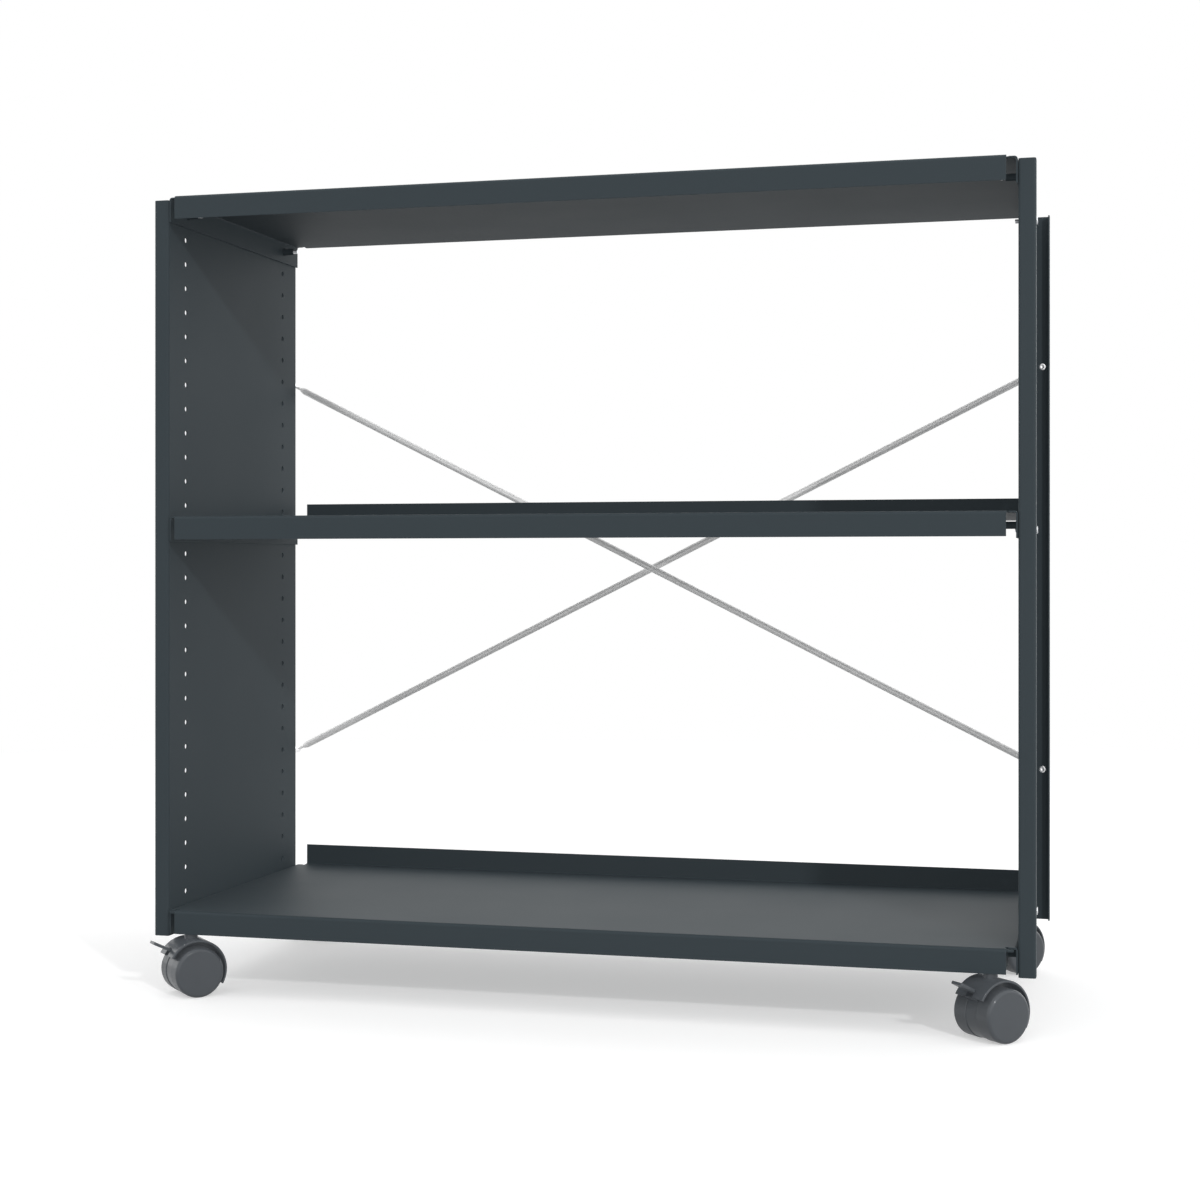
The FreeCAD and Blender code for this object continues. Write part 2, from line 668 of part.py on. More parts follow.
def caster_ring(name):
    """An open retaining ring in the stem's groove."""
    low = "ring_height - ring_thickness + running_fit"
    thick = "ring_thickness - 2*running_fit"
    outer = cylinder(name + "_outer", "ring_outer_dia/2 - running_fit", thick, z=low)
    hole = cylinder(name + "_hole", "ring_groove_dia/2 + running_fit",
                    "ring_thickness + %g" % (2 * CUT_MARGIN), z=low + " - %g" % CUT_MARGIN)
    slit = box(name + "_slit", "ring_slit", "ring_outer_dia", "ring_thickness + %g" % (2 * CUT_MARGIN),
               "-ring_slit/2", "0", low + " - %g" % CUT_MARGIN)
    return cut(name, outer, [hole, slit])


def hood_sector(name, radius, width):
    """A solid slice of the hood's circle, from its rear end up and over to its front end."""
    start = FreeCAD.Rotation(X_AXIS, -size("hood_back_angle"))
    upright = FreeCAD.Rotation(DIAGONAL, THIRD_TURN)
    sector = cylinder(name, radius, width, "-%s/2" % width, "hood_offset", "hood_centre",
                      start.multiply(upright))
    bind(sector, Angle="%d + hood_back_angle - hood_front_angle" % HALF_TURN)
    return sector


def across(name, radius, width, y, z):
    """A cylinder along the axle, centred on the caster's middle."""
    return cylinder(name, radius, width, "-(%s)/2" % width, y, z, ALONG_X)


def caster_housing(name):
    """Hood over both wheels, the body between them, and the bores for stem, axle and lever pin."""
    axle_y = "wheel_trail"
    axle_z = wheel_centre_height()
    shell = cut(name + "_hood", hood_sector(name + "_hood_outer", "hood_radius", "hood_width"),
                [across(name + "_hood_inner", "hood_radius - hood_wall", "hood_width + %g" % CUT_MARGIN,
                        "hood_offset", "hood_centre")])
    side_face = size("hood_width") / 2
    rim = size("hood_radius")

    def hood_rim(edge):
        if edge.Curve.TypeId != "Part::GeomCircle":
            return False
        return near(edge.Curve.Radius, rim) and near(abs(edge.Curve.Center.x), side_face)

    shell = round_edges(name + "_hood_round", shell, "hood_round", hood_rim)
    upper = hood_sector(name + "_upper", "hood_radius - hood_wall/2", "core_width")
    lower = across(name + "_lower", "wheel_dia/2 - core_step", "core_width", axle_y, axle_z)
    boss = cylinder(name + "_boss", "collar_dia/2", "boss_top - hood_centre", z="hood_centre")
    solid = fuse(name + "_solid", [shell, upper, lower, boss])

    bore = cylinder(name + "_bore", "stem_pin_dia/2 + running_fit",
                    "boss_top - stem_pin_end + %g" % (2 * CUT_MARGIN), z="stem_pin_end - %g" % CUT_MARGIN)
    ring_seat = cylinder(name + "_ring_seat", "ring_outer_dia/2 + running_fit", "ring_thickness",
                         z="ring_height - ring_thickness")
    axle_bore = across(name + "_axle_bore", "axle_dia/2 + running_fit", "core_width + %g" % CUT_MARGIN,
                       axle_y, axle_z)
    pin_bore = across(name + "_pin_bore", "lever_pin_dia/2 + running_fit",
                      "core_width + %g" % CUT_MARGIN, "-lever_pin_front", "-lever_pin_drop")
    boss_half = "(lever_boss_dia/2 + lever_boss_gap)"
    boss_floor = "(-lever_pin_drop - %s)" % boss_half
    pocket = lever_slot(name + "_boss_slot", boss_half, boss_half, boss_floor)
    inner_slot = lever_slot(name + "_inner_slot", "0", "slot_floor_reach", "slot_floor")
    outer_slot = lever_slot(name + "_outer_slot", "0", "hood_radius", "slot_sill")
    return cut(name, solid, [bore, ring_seat, axle_bore, pin_bore, pocket, inner_slot, outer_slot])


def lever_slot(name, behind, in_front, floor):
    """A box for the lever's tongue, from behind the lever pin to in front of it."""
    width = "(lever_tongue + 2*lever_side_gap)"
    return box(name, width, "%s + %s" % (behind, in_front), "slot_top - " + floor,
               "-%s/2" % width, "-lever_pin_front - " + in_front, floor)


def caster_wheel(label, sign, x_sign, y_sign):
    """A cup: rim, closed outer disc and hub, turned about the axle."""
    inner = "(core_width/2 + wheel_gap)"
    outer = "wheel_outer_face"
    disc = "(wheel_outer_face - wheel_web)"
    bore = "(axle_dia/2 + running_fit)"
    bore_end = "(wheel_outer_face - wheel_web)"
    radius = "(wheel_dia/2)"
    points = [(inner, bore), (bore_end, bore), (bore_end, "0"), (outer, "0"), (outer, radius)]
    points += [(inner, radius), (inner, "(wheel_dia/2 - wheel_rim)")]
    points += [(disc, "(wheel_dia/2 - wheel_rim)"), (disc, "wheel_hub_dia/2")]
    points += [(inner, "wheel_hub_dia/2")]
    points = [("%d*%s" % (sign, x), y) for x, y in points]
    body, turned = turned_outline(label, points)
    face = sign * size("wheel_outer_face")
    rim = size("wheel_dia") / 2

    def outer_edge(edge):
        round_edge = edge.Curve.TypeId == "Part::GeomCircle"
        return round_edge and near(edge.Curve.Radius, rim) and near(edge.Curve.Center.x, face)

    fillet_body(body, label + "_round", turned, "wheel_round", outer_edge)
    behind_x = "-wheel_trail*sin(caster_heading)"
    behind_y = "wheel_trail*cos(caster_heading)"
    place(body, "%s + %s" % (caster_x(x_sign), behind_x), "%s + %s" % (caster_y(y_sign), behind_y),
          "wheel_dia/2", caster_heading())
    return node(body, label)


def caster_axle(name):
    """A plain axle, short of the wheels' closed discs."""
    width = "(2*(wheel_outer_face - wheel_web - axle_end_gap))"
    return across(name, "axle_dia/2", width, "wheel_trail", wheel_centre_height())


def lever_plate(name, length, width, thickness, start):
    """A flat bar along the lever, from start to start + length in front of the lever pin."""
    return box(name, width, length, thickness, "-%s/2" % width, "-(%s) - (%s)" % (start, length),
               "-%s/2" % thickness)


def brake_lever(name):
    """Blade and tongue in one, turned up to the released angle about the lever pin."""
    blade = lever_plate(name + "_blade", "lever_reach - lever_blade_start", "lever_width",
                        "lever_thickness", "lever_blade_start")
    tip = -size("lever_reach")
    rounded = round_edges(name + "_blade_round", blade, "lever_tip_round",
                          lambda edge: parallel(edge, Z_AXIS) and near(edge.Vertexes[0].Y, tip))
    tongue = lever_plate(name + "_tongue", "lever_blade_start + lever_thickness", "lever_tongue",
                         "lever_thickness", "0")
    boss = across(name + "_boss", "lever_boss_dia/2", "lever_tongue", "0", "0")
    hole = across(name + "_hole", "lever_pin_dia/2 + running_fit", "lever_tongue + %g" % CUT_MARGIN,
                  "0", "0")
    lever = cut(name + "_flat", fuse(name + "_solid", [rounded, tongue, boss]), [hole])
    return place(lever, "0", "-lever_pin_front", "-lever_pin_drop",
                 FreeCAD.Rotation(X_AXIS, -size("lever_angle")))


def lever_pin(name):
    return across(name, "lever_pin_dia/2", "core_width - lever_side_gap", "-lever_pin_front",
                  "-lever_pin_drop")


def caster(end, y_sign, side, x_sign):
    """All pieces of one caster, each in a node of its own."""
    prefix = "caster_%s_%s_" % (end, side)
    makers = (("stem", caster_stem), ("ring", caster_ring), ("housing", caster_housing))
    makers += (("axle", caster_axle), ("lever", brake_lever), ("lever_pin", lever_pin))
    for piece, maker in makers:
        local = maker(prefix + piece + "_local")
        placed = group(prefix + piece, [local])
        at_caster(placed, x_sign, y_sign)
        node(placed, prefix + piece)
    for wheel_side, sign in SIDES:
        caster_wheel(prefix + "wheel_" + wheel_side, sign, x_sign, y_sign)


# ---------------------------------------------------------------- the whole unit

def build_unit():
    for side, sign in SIDES:
        side_panel(side, sign)
    for level in SHELF_LEVELS:
        shelf(level)
        shelf_screws(level)
    for name, slope in BRACES:
        brace_rod(name, slope)
        brace_pins(name, slope)
    caster_bushes()
    for end, y_sign in ENDS:
        for side, x_sign in SIDES:
            caster_bracket(end, y_sign, side, x_sign)
            caster(end, y_sign, side, x_sign)


def check_and_export():
    doc.recompute()
    for obj in doc.Objects:
        if "Invalid" in obj.State or "Error" in obj.State:
            raise RuntimeError(obj.Name + " failed: " + ", ".join(obj.State))
    for obj in nodes:
        if obj.Shape.isNull() or not obj.Shape.isValid():
            raise RuntimeError(obj.Label + " has no valid shape")
    os.makedirs("parts", exist_ok=True)
    for obj in nodes:
        obj.Shape.exportStep("parts/" + obj.Label + ".step")
        print("%-32s %d solids %10.1f mm3" % (obj.Label, len(obj.Shape.Solids), obj.Shape.Volume))


build_unit()
check_and_export()
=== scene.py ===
import json
import math

import bmesh
import bpy
from mathutils import Matrix, Vector


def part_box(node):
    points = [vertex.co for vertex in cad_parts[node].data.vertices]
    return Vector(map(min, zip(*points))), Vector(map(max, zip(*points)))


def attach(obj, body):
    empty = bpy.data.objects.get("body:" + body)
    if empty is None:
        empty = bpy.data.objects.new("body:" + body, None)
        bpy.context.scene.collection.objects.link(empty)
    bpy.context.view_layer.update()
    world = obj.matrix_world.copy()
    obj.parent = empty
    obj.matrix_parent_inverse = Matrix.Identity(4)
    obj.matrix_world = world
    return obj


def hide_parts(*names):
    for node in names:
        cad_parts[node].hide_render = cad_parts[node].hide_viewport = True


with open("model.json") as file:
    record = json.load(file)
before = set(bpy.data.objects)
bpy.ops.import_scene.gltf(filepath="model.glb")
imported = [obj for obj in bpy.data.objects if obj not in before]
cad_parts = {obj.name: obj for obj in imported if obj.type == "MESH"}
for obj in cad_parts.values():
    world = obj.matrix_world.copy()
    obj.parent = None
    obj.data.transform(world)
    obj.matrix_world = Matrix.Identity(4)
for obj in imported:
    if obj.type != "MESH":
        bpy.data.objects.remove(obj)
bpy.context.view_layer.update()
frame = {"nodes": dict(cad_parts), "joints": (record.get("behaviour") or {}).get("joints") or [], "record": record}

# A mobile sheet-steel shelf unit. Its sizes are in millimetres and become metres when a mesh is made;
# the camera, the floor and the lamps are in metres. The frame's origin lies on the floor, under the
# middle of the side panels, and the front faces -Y.

MM = 0.001
BOX_DIGITS = 2
SIGNS = (-1, 1)
SIDES = (("left", -1), ("right", 1))
LEVELS = ("bottom", "middle", "top")
CASTERS = ("front_left", "front_right", "rear_left", "rear_right")


def box_mm(node):
    """A CAD node's lowest and highest corners in millimetres, rounded to a hundredth."""
    return [Vector([round(value / MM, BOX_DIGITS) for value in corner]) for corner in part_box(node)]


# ---------------------------------------------------------------- meshes

POINT_DIGITS = 4


class Soup:
    """Faces given as points in millimetres; equal points become one vertex."""

    def __init__(self):
        self.points = []
        self.numbers = {}
        self.faces = []

    def number(self, point):
        key = tuple(round(value, POINT_DIGITS) + 0.0 for value in point)  # + 0.0 turns -0.0 into 0.0
        if key not in self.numbers:
            self.numbers[key] = len(self.points)
            self.points.append([value * MM for value in key])
        return self.numbers[key]

    def face(self, points):
        loop = []
        for point in points:
            number = self.number(point)
            if number not in loop:
                loop.append(number)
        if len(loop) > 2:
            self.faces.append(loop)

    def strip(self, first, second, closed=False):
        """Quads between two rows of points."""
        count = len(first) if closed else len(first) - 1
        for number in range(count):
            following = (number + 1) % len(first)
            self.face([first[number], first[following], second[following], second[number]])


BEVEL_ANGLE = math.radians(40)
SHARP_ANGLE = math.radians(32)
FLAT_ANGLE = math.radians(0.5)
JOIN_DISTANCE = 1e-6
SHEET_EDGE, SHEET_SEGMENTS = 0.25, 2
SOLID_EDGE, SOLID_SEGMENTS = 0.4, 3
ROUND_PROFILE = 0.5
FLAT_WEIGHT = 100


def make_object(name, soup, bevel=SHEET_EDGE):
    """An object from a soup, with its sharp edges rounded off by the given width in millimetres."""
    mesh = bpy.data.meshes.new(name)
    mesh.from_pydata(soup.points, [], soup.faces)
    work = bmesh.new()
    work.from_mesh(mesh)
    bpy.data.meshes.remove(mesh)
    return object_from(name, work, bevel, SHEET_SEGMENTS)


def softened(name, cad_node, bevel=SOLID_EDGE):
    """A copy of a CAD node with each flat face made one and its sharp edges rounded off."""
    work = bmesh.new()
    work.from_mesh(frame["nodes"][cad_node].data)
    bmesh.ops.remove_doubles(work, verts=work.verts, dist=JOIN_DISTANCE)
    bmesh.ops.dissolve_limit(work, angle_limit=FLAT_ANGLE, verts=work.verts, edges=work.edges)
    return object_from(name, work, bevel, SOLID_SEGMENTS)


def object_from(name, work, bevel, segments):
    """An object from a bmesh in metres; edges over the bevel angle are rounded off."""
    mesh = bpy.data.meshes.new(name)
    bmesh.ops.recalc_face_normals(work, faces=work.faces)
    if bevel:
        sharp = [edge for edge in work.edges
                 if len(edge.link_faces) == 2 and edge.calc_face_angle() > BEVEL_ANGLE]
        bmesh.ops.bevel(work, geom=sharp, offset=bevel * MM, segments=segments,
                        profile=ROUND_PROFILE, affect="EDGES", clamp_overlap=True)
        bmesh.ops.recalc_face_normals(work, faces=work.faces)
    work.to_mesh(mesh)
    work.free()
    mesh.shade_smooth()
    mesh.set_sharp_from_angle(angle=SHARP_ANGLE)
    piece = bpy.data.objects.new(name, mesh)
    bpy.context.scene.collection.objects.link(piece)
    shading = piece.modifiers.new("flat_faces", "WEIGHTED_NORMAL")
    shading.keep_sharp = True
    shading.weight = FLAT_WEIGHT
    return piece


def finish_piece(piece, body, slot, *nodes):
    """Gives a piece its material and says what it rides on and which CAD nodes it stands for."""
    piece.data.materials.append(MATERIALS[slot])
    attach(piece, body)
    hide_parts(*nodes)


# ---------------------------------------------------------------- folded sheet

BEND_STEPS = 6
IN_LINE = 0.999      # two runs with a larger cosine between them are one straight run
SHORTEST_RUN = 1e-6
ON_THE_RUN = 1e-3


def fold_line(corners, radius):
    """The middle line of a folded sheet as (point, normal) pairs, with a rounded bend at each corner."""
    stations = []
    for number, corner in enumerate(corners):
        corner = Vector(corner)
        before = (corner - Vector(corners[number - 1])).normalized() if number else None
        last = number + 1 == len(corners)
        after = None if last else (Vector(corners[number + 1]) - corner).normalized()
        if before is None or after is None or before.dot(after) > IN_LINE:
            along = after if before is None else before
            stations.append((corner, along.orthogonal()))
            continue
        turn = 1 if before.cross(after) > 0 else -1
        centre = corner - before * radius + before.orthogonal() * radius * turn
        for step in range(BEND_STEPS + 1):
            angle = turn * math.pi / 2 * step / BEND_STEPS
            along = Matrix.Rotation(angle, 2) @ before
            stations.append((centre - along.orthogonal() * radius * turn, along.orthogonal()))
    return stations


def sides_of(station, gauge):
    """The two face points of a sheet at a station of its middle line."""
    point, normal = station
    return point + normal * gauge / 2, point - normal * gauge / 2


def folded_sheet(soup, corners, gauge, bend, levels, place, holes=(), open_start=False):
    """A folded sheet: its section runs through the corners, and place(a, b, level) gives a point.

    A hole is (a, b, level, radius); it is cut in the straight cell of the grid that holds it.
    """
    stations = fold_line(corners, bend - gauge / 2)
    faces = [sides_of(station, gauge) for station in stations]
    for number in range(len(stations) - 1):
        for low, high in zip(levels, levels[1:]):
            hole = hole_in_cell(stations[number][0], stations[number + 1][0], low, high, holes)
            if hole is not None:
                pierce(soup, stations[number], stations[number + 1], low, high, gauge, place, hole)
                continue
            for start, end in zip(faces[number], faces[number + 1]):
                soup.face([place(*start, low), place(*end, low), place(*end, high), place(*start, high)])
        for level in (levels[0], levels[-1]):
            soup.face([place(*faces[number][0], level), place(*faces[number + 1][0], level),
                       place(*faces[number + 1][1], level), place(*faces[number][1], level)])
    ends = (faces[-1],) if open_start else (faces[0], faces[-1])
    for pair in ends:
        for low, high in zip(levels, levels[1:]):
            soup.face([place(*pair[0], low), place(*pair[1], low), place(*pair[1], high),
                       place(*pair[0], high)])


def hole_in_cell(start, end, low, high, holes):
    """The hole whose centre lies in this straight cell of the grid, or None."""
    along = end - start
    for hole in holes:
        centre = Vector(hole[:2])
        if along.length < SHORTEST_RUN or not low < hole[2] < high:
            continue
        share = (centre - start).dot(along) / along.length_squared
        if 0 < share < 1 and (start + along * share - centre).length < ON_THE_RUN:
            return hole
    return None


QUARTER_STEPS = 8
FIRST_CORNER = math.radians(-135)


def pierce(soup, first, second, low, high, gauge, place, hole):
    """A cell of the grid with a round hole through both faces of the sheet."""
    along = (second[0] - first[0]).normalized()
    normal = first[1]
    centre, level, radius = Vector(hole[:2]), hole[2], hole[3]
    rims = []
    for side in (1, -1):
        offset = normal * side * gauge / 2
        cell = [(first[0], low), (second[0], low), (second[0], high), (first[0], high)]
        cell = [place(*(point + offset), height) for point, height in cell]
        rim = []
        for step in range(4 * QUARTER_STEPS):
            angle = FIRST_CORNER + math.tau * step / (4 * QUARTER_STEPS)
            point = centre + along * radius * math.cos(angle) + offset
            rim.append(place(*point, level + radius * math.sin(angle)))
        for quarter in range(4):
            arc = [rim[(quarter * QUARTER_STEPS + step) % len(rim)]
                   for step in range(QUARTER_STEPS + 1)]
            soup.face([cell[quarter], cell[(quarter + 1) % 4]] + arc[::-1])
        rims.append(rim)
    soup.strip(rims[0], rims[1], closed=True)


# ---------------------------------------------------------------- turned pieces

TURN_STEPS = 64
SMALL_TURN_STEPS = 48


def arc_points(centre, radius, start, end, steps):
    """Points on an arc in the plane, from one angle in degrees to another."""
    angles = [math.radians(start + (end - start) * step / steps) for step in range(steps + 1)]
    return [(centre[0] + radius * math.cos(angle), centre[1] + radius * math.sin(angle))
            for angle in angles]


def turned(soup, profile, place, steps=TURN_STEPS):
    """Turns a profile of (distance along the axis, radius) pairs; place(along, u, v) gives a point."""
    rings = []
    for along, radius in profile:
        ring = []
        for step in range(steps):
            angle = math.tau * step / steps
            ring.append(place(along, radius * math.cos(angle), radius * math.sin(angle)))
        rings.append(ring)
    for first, second in zip(rings, rings[1:]):
        soup.strip(first, second, closed=True)


def axis_frame(origin, direction):
    """place(along, u, v) for a turned piece whose axis starts at origin and points along direction."""
    origin, direction = Vector(origin), Vector(direction).normalized()
    across = direction.orthogonal().normalized()
    third = direction.cross(across)
    return lambda along, u, v: origin + direction * along + across * u + third * v


# ---------------------------------------------------------------- materials

CLOUD_RANGE = (0.3, 0.7)     # nearly all values of a noise lie between these
EDGE_COSINES = (0.98, 0.80)
EDGE_SAMPLES = 4


def new_material(name):
    material = bpy.data.materials.new(name)
    material.use_nodes = True
    tree = material.node_tree
    tree.nodes.clear()
    output = tree.nodes.new("ShaderNodeOutputMaterial")
    shader = tree.nodes.new("ShaderNodeBsdfPrincipled")
    tree.links.new(shader.outputs["BSDF"], output.inputs["Surface"])
    return material, tree, shader


def node(tree, kind, inputs=None, **settings):
    """A shader node with its settings, and inputs given as values or as sockets."""
    made = tree.nodes.new(kind)
    for key, value in settings.items():
        setattr(made, key, value)
    for key, value in (inputs or {}).items():
        if isinstance(value, bpy.types.NodeSocket):
            tree.links.new(value, made.inputs[key])
        else:
            made.inputs[key].default_value = value
    return made


def object_position(tree):
    return node(tree, "ShaderNodeTexCoord").outputs["Object"]


def noise(tree, position, size_mm, detail=2.0, roughness=0.5):
    """Noise whose blobs are about this many millimetres wide; 0.5 on average."""
    return node(tree, "ShaderNodeTexNoise", {"Vector": position, "Scale": 1000.0 / size_mm,
                "Detail": detail, "Roughness": roughness}).outputs["Fac"]


def remap(tree, value, from_low, from_high, to_low, to_high):
    inputs = {"Value": value, "From Min": from_low, "From Max": from_high, "To Min": to_low,
              "To Max": to_high}
    return node(tree, "ShaderNodeMapRange", inputs).outputs["Result"]


def math_node(tree, operation, first, second):
    return node(tree, "ShaderNodeMath", {0: first, 1: second}, operation=operation).outputs["Value"]


def mix_colour(tree, factor, first, second):
    """Mixes two colours, each a triple or a socket."""
    made = node(tree, "ShaderNodeMix", data_type="RGBA")
    for key, value in (("Factor", factor), ("A", first), ("B", second)):
        socket = [item for item in made.inputs if item.name == key and item.enabled][0]
        if isinstance(value, bpy.types.NodeSocket):
            tree.links.new(value, socket)
        else:
            socket.default_value = value if key == "Factor" else (*value, 1.0)
    return [item for item in made.outputs if item.enabled][0]


def bump(tree, height, strength, distance_mm, normal=None):
    inputs = {"Height": height, "Strength": strength, "Distance": distance_mm * MM}
    if normal is not None:
        inputs["Normal"] = normal
    return node(tree, "ShaderNodeBump", inputs).outputs["Normal"]


def edge_mask(tree, radius_mm):
    """1 on sharp edges, 0 on flats."""
    rounded = node(tree, "ShaderNodeBevel", {"Radius": radius_mm * MM}, samples=EDGE_SAMPLES)
    flat = node(tree, "ShaderNodeNewGeometry").outputs["Normal"]
    dot = node(tree, "ShaderNodeVectorMath", {0: rounded.outputs["Normal"], 1: flat},
               operation="DOT_PRODUCT")
    return remap(tree, dot.outputs["Value"], *EDGE_COSINES, 0.0, 1.0)


def cloudy_tint(tree, clouds, colour, spread):
    """A colour that the clouds make darker and lighter by a share of itself."""
    darker = tuple(value * (1 - spread) for value in colour)
    lighter = tuple(value * (1 + spread) for value in colour)
    return mix_colour(tree, clouds, darker, lighter)


COAT_COLOUR = (0.0338, 0.0440, 0.0503)
COAT_SPREAD = 0.02
# Lighter colour on sharp edges, in spots: partly a thinner worn film, partly a painted edge highlight.
COAT_WORN_AND_HIGHLIT = (0.060, 0.073, 0.080)
WORN_AND_HIGHLIT_EDGE = 0.5
WORN_AND_HIGHLIT_SPOTS = 9.0
COAT_CLOUDS = 90.0
COAT_ROUGHNESS = (0.595, 0.62)
COAT_GLOSS = 0.09
COAT_RELIEF = 0.30
PEEL_SIZE, PEEL_DEPTH = 1.6, 0.04
COAT_GRAIN_SIZE, COAT_GRAIN_DEPTH = 0.35, 0.02


def powder_coat():
    """Satin anthracite powder coat: fine orange peel, soft cloudy gloss, and lighter edges, partly a thinner worn
    film and partly a painted highlight.
    """
    material, tree, shader = new_material("powder_coat")
    position = object_position(tree)
    clouds = noise(tree, position, COAT_CLOUDS, detail=3.0)
    # Sharp edges turn lighter in spots: partly worn thin film, partly a painted highlight along the edges.
    worn_and_highlit = math_node(tree, "MULTIPLY", edge_mask(tree, WORN_AND_HIGHLIT_EDGE),
                     noise(tree, position, WORN_AND_HIGHLIT_SPOTS, detail=4.0))
    colour = mix_colour(tree, worn_and_highlit, cloudy_tint(tree, clouds, COAT_COLOUR, COAT_SPREAD), COAT_WORN_AND_HIGHLIT)
    tree.links.new(colour, shader.inputs["Base Color"])
    tree.links.new(remap(tree, clouds, *CLOUD_RANGE, *COAT_ROUGHNESS), shader.inputs["Roughness"])
    shader.inputs["Specular IOR Level"].default_value = COAT_GLOSS
    peel = bump(tree, noise(tree, position, PEEL_SIZE, detail=1.0), COAT_RELIEF, PEEL_DEPTH)
    grain = bump(tree, noise(tree, position, COAT_GRAIN_SIZE), COAT_RELIEF, COAT_GRAIN_DEPTH, peel)
    tree.links.new(grain, shader.inputs["Normal"])
    return material


WHEEL_RADIUS = 25.0
AXLE_DIRECTION = (math.sqrt(0.5), -math.sqrt(0.5), 0.0)
PLASTIC_COLOUR = (0.062, 0.0690, 0.0770)
PLASTIC_SPREAD = 0.07
PLASTIC_CLOUDS = 25.0
PLASTIC_ROUGHNESS = (0.38, 0.44)
PLASTIC_GLOSS = 0.10
PLASTIC_FILM, PLASTIC_FILM_ROUGHNESS = 0.30, 0.14
PLASTIC_GRAIN_SIZE, PLASTIC_GRAIN_DEPTH = 0.5, 0.02
PLASTIC_RELIEF = 0.25
SCUFF_COLOUR = (0.16, 0.16, 0.155)
SCUFF_DEPTHS = (0.5, 0.1)    # below a wheel's radius, where the scuffed tread begins and is full
DUST_SIZE = 3.0
DUST_TINT, DUST_ROUGHNESS = 0.10, 0.30


def axle_distance(tree, position):
    """Distance from a wheel's axle, in metres."""
    along = node(tree, "ShaderNodeVectorMath", {0: position, 1: AXLE_DIRECTION},
                 operation="DOT_PRODUCT").outputs["Value"]
    centre = node(tree, "ShaderNodeVectorMath", {0: AXLE_DIRECTION, 3: along},
                  operation="SCALE").outputs["Vector"]
    return node(tree, "ShaderNodeVectorMath", {0: position, 1: centre},
                operation="DISTANCE").outputs["Value"]


def moulded_plastic(name, scuffed):
    """Satin moulded plastic with a fine eroded grain; the wheels' treads are scuffed and duller."""
    material, tree, shader = new_material(name)
    position = object_position(tree)
    clouds = noise(tree, position, PLASTIC_CLOUDS, detail=3.0)
    tint = cloudy_tint(tree, clouds, PLASTIC_COLOUR, PLASTIC_SPREAD)
    rough = remap(tree, clouds, *CLOUD_RANGE, *PLASTIC_ROUGHNESS)
    if scuffed:
        start, full = [(WHEEL_RADIUS - depth) * MM for depth in SCUFF_DEPTHS]
        tread = remap(tree, axle_distance(tree, position), start, full, 0.0, 1.0)
        dust = math_node(tree, "MULTIPLY", tread,
                         noise(tree, position, DUST_SIZE, detail=5.0, roughness=0.7))
        tint = mix_colour(tree, math_node(tree, "MULTIPLY", dust, DUST_TINT), tint, SCUFF_COLOUR)
        rough = math_node(tree, "ADD", rough, math_node(tree, "MULTIPLY", dust, DUST_ROUGHNESS))
    tree.links.new(tint, shader.inputs["Base Color"])
    tree.links.new(rough, shader.inputs["Roughness"])
    shader.inputs["Specular IOR Level"].default_value = PLASTIC_GLOSS
    shader.inputs["Coat Weight"].default_value = PLASTIC_FILM
    shader.inputs["Coat Roughness"].default_value = PLASTIC_FILM_ROUGHNESS
    height = noise(tree, position, PLASTIC_GRAIN_SIZE, detail=3.0)
    tree.links.new(bump(tree, height, PLASTIC_RELIEF, PLASTIC_GRAIN_DEPTH), shader.inputs["Normal"])
    return material


METAL_CLOUDS = 6.0
METAL_GRAIN_DEPTH = 0.02


def metal(name, colour, roughness, grain_mm, spots, share=1.0, relief=0.15):
    """Plated or turned steel: slightly uneven reflectance, fine grain and a few dull spots."""
    material, tree, shader = new_material(name)
    position = object_position(tree)
    clouds = noise(tree, position, METAL_CLOUDS, detail=4.0)
    darker = tuple(value * (1 - spots) for value in colour)
    tree.links.new(mix_colour(tree, clouds, darker, colour), shader.inputs["Base Color"])
    shader.inputs["Metallic"].default_value = share
    tree.links.new(remap(tree, clouds, *CLOUD_RANGE, *roughness), shader.inputs["Roughness"])
    tree.links.new(bump(tree, noise(tree, position, grain_mm), relief, METAL_GRAIN_DEPTH),
                   shader.inputs["Normal"])
    return material


MATERIALS = {
    "powder_coat": powder_coat(),
    "brace_grey": metal("brace_grey", colour=(0.74, 0.74, 0.74), roughness=(0.46, 0.54),
                        grain_mm=0.6, spots=0.04, share=0.2, relief=0.05),
    "bright_steel": metal("bright_steel", colour=(0.80, 0.80, 0.81), roughness=(0.16, 0.26),
                          grain_mm=0.4, spots=0.08),
    "zinc_steel": metal("zinc_steel", colour=(0.66, 0.67, 0.69), roughness=(0.24, 0.38),
                        grain_mm=0.8, spots=0.15),
    "caster_plastic": moulded_plastic("caster_plastic", scuffed=False),
    "wheel_plastic": moulded_plastic("wheel_plastic", scuffed=True),
}


def dress_frame():
    """Every CAD node shows in its slot's material until a piece replaces it."""
    for subpart in frame["record"]["subparts"]:
        carried = frame["nodes"][subpart["node"]]
        carried.data.materials.clear()
        carried.data.materials.append(MATERIALS[subpart["material_slot"]])


# ---------------------------------------------------------------- side panels

GAUGE = 1.5          # of the sheet of panels and shelves
PANEL_LOW, PANEL_HIGH = box_mm("side_panel_right")
WEB_X = PANEL_LOW.x
FLANGE = PANEL_HIGH.x - PANEL_LOW.x
HALF_DEPTH = PANEL_HIGH.y
PANEL_BOTTOM = PANEL_LOW.z
PANEL_HEIGHT = PANEL_HIGH.z - PANEL_LOW.z
PANEL_RETURN = 12.0
PANEL_BEND = 2.5
HOLE_PITCH = 25.0
HOLE_COUNT = 30
HOLE_FIRST = 15.0
HOLE_RADIUS = 2.75
HOLE_COLUMN = 123.0
BRACE_RISE = 430.0
PIN_RADIUS = 3.5
PIN_HOLE_RADIUS = 3.6


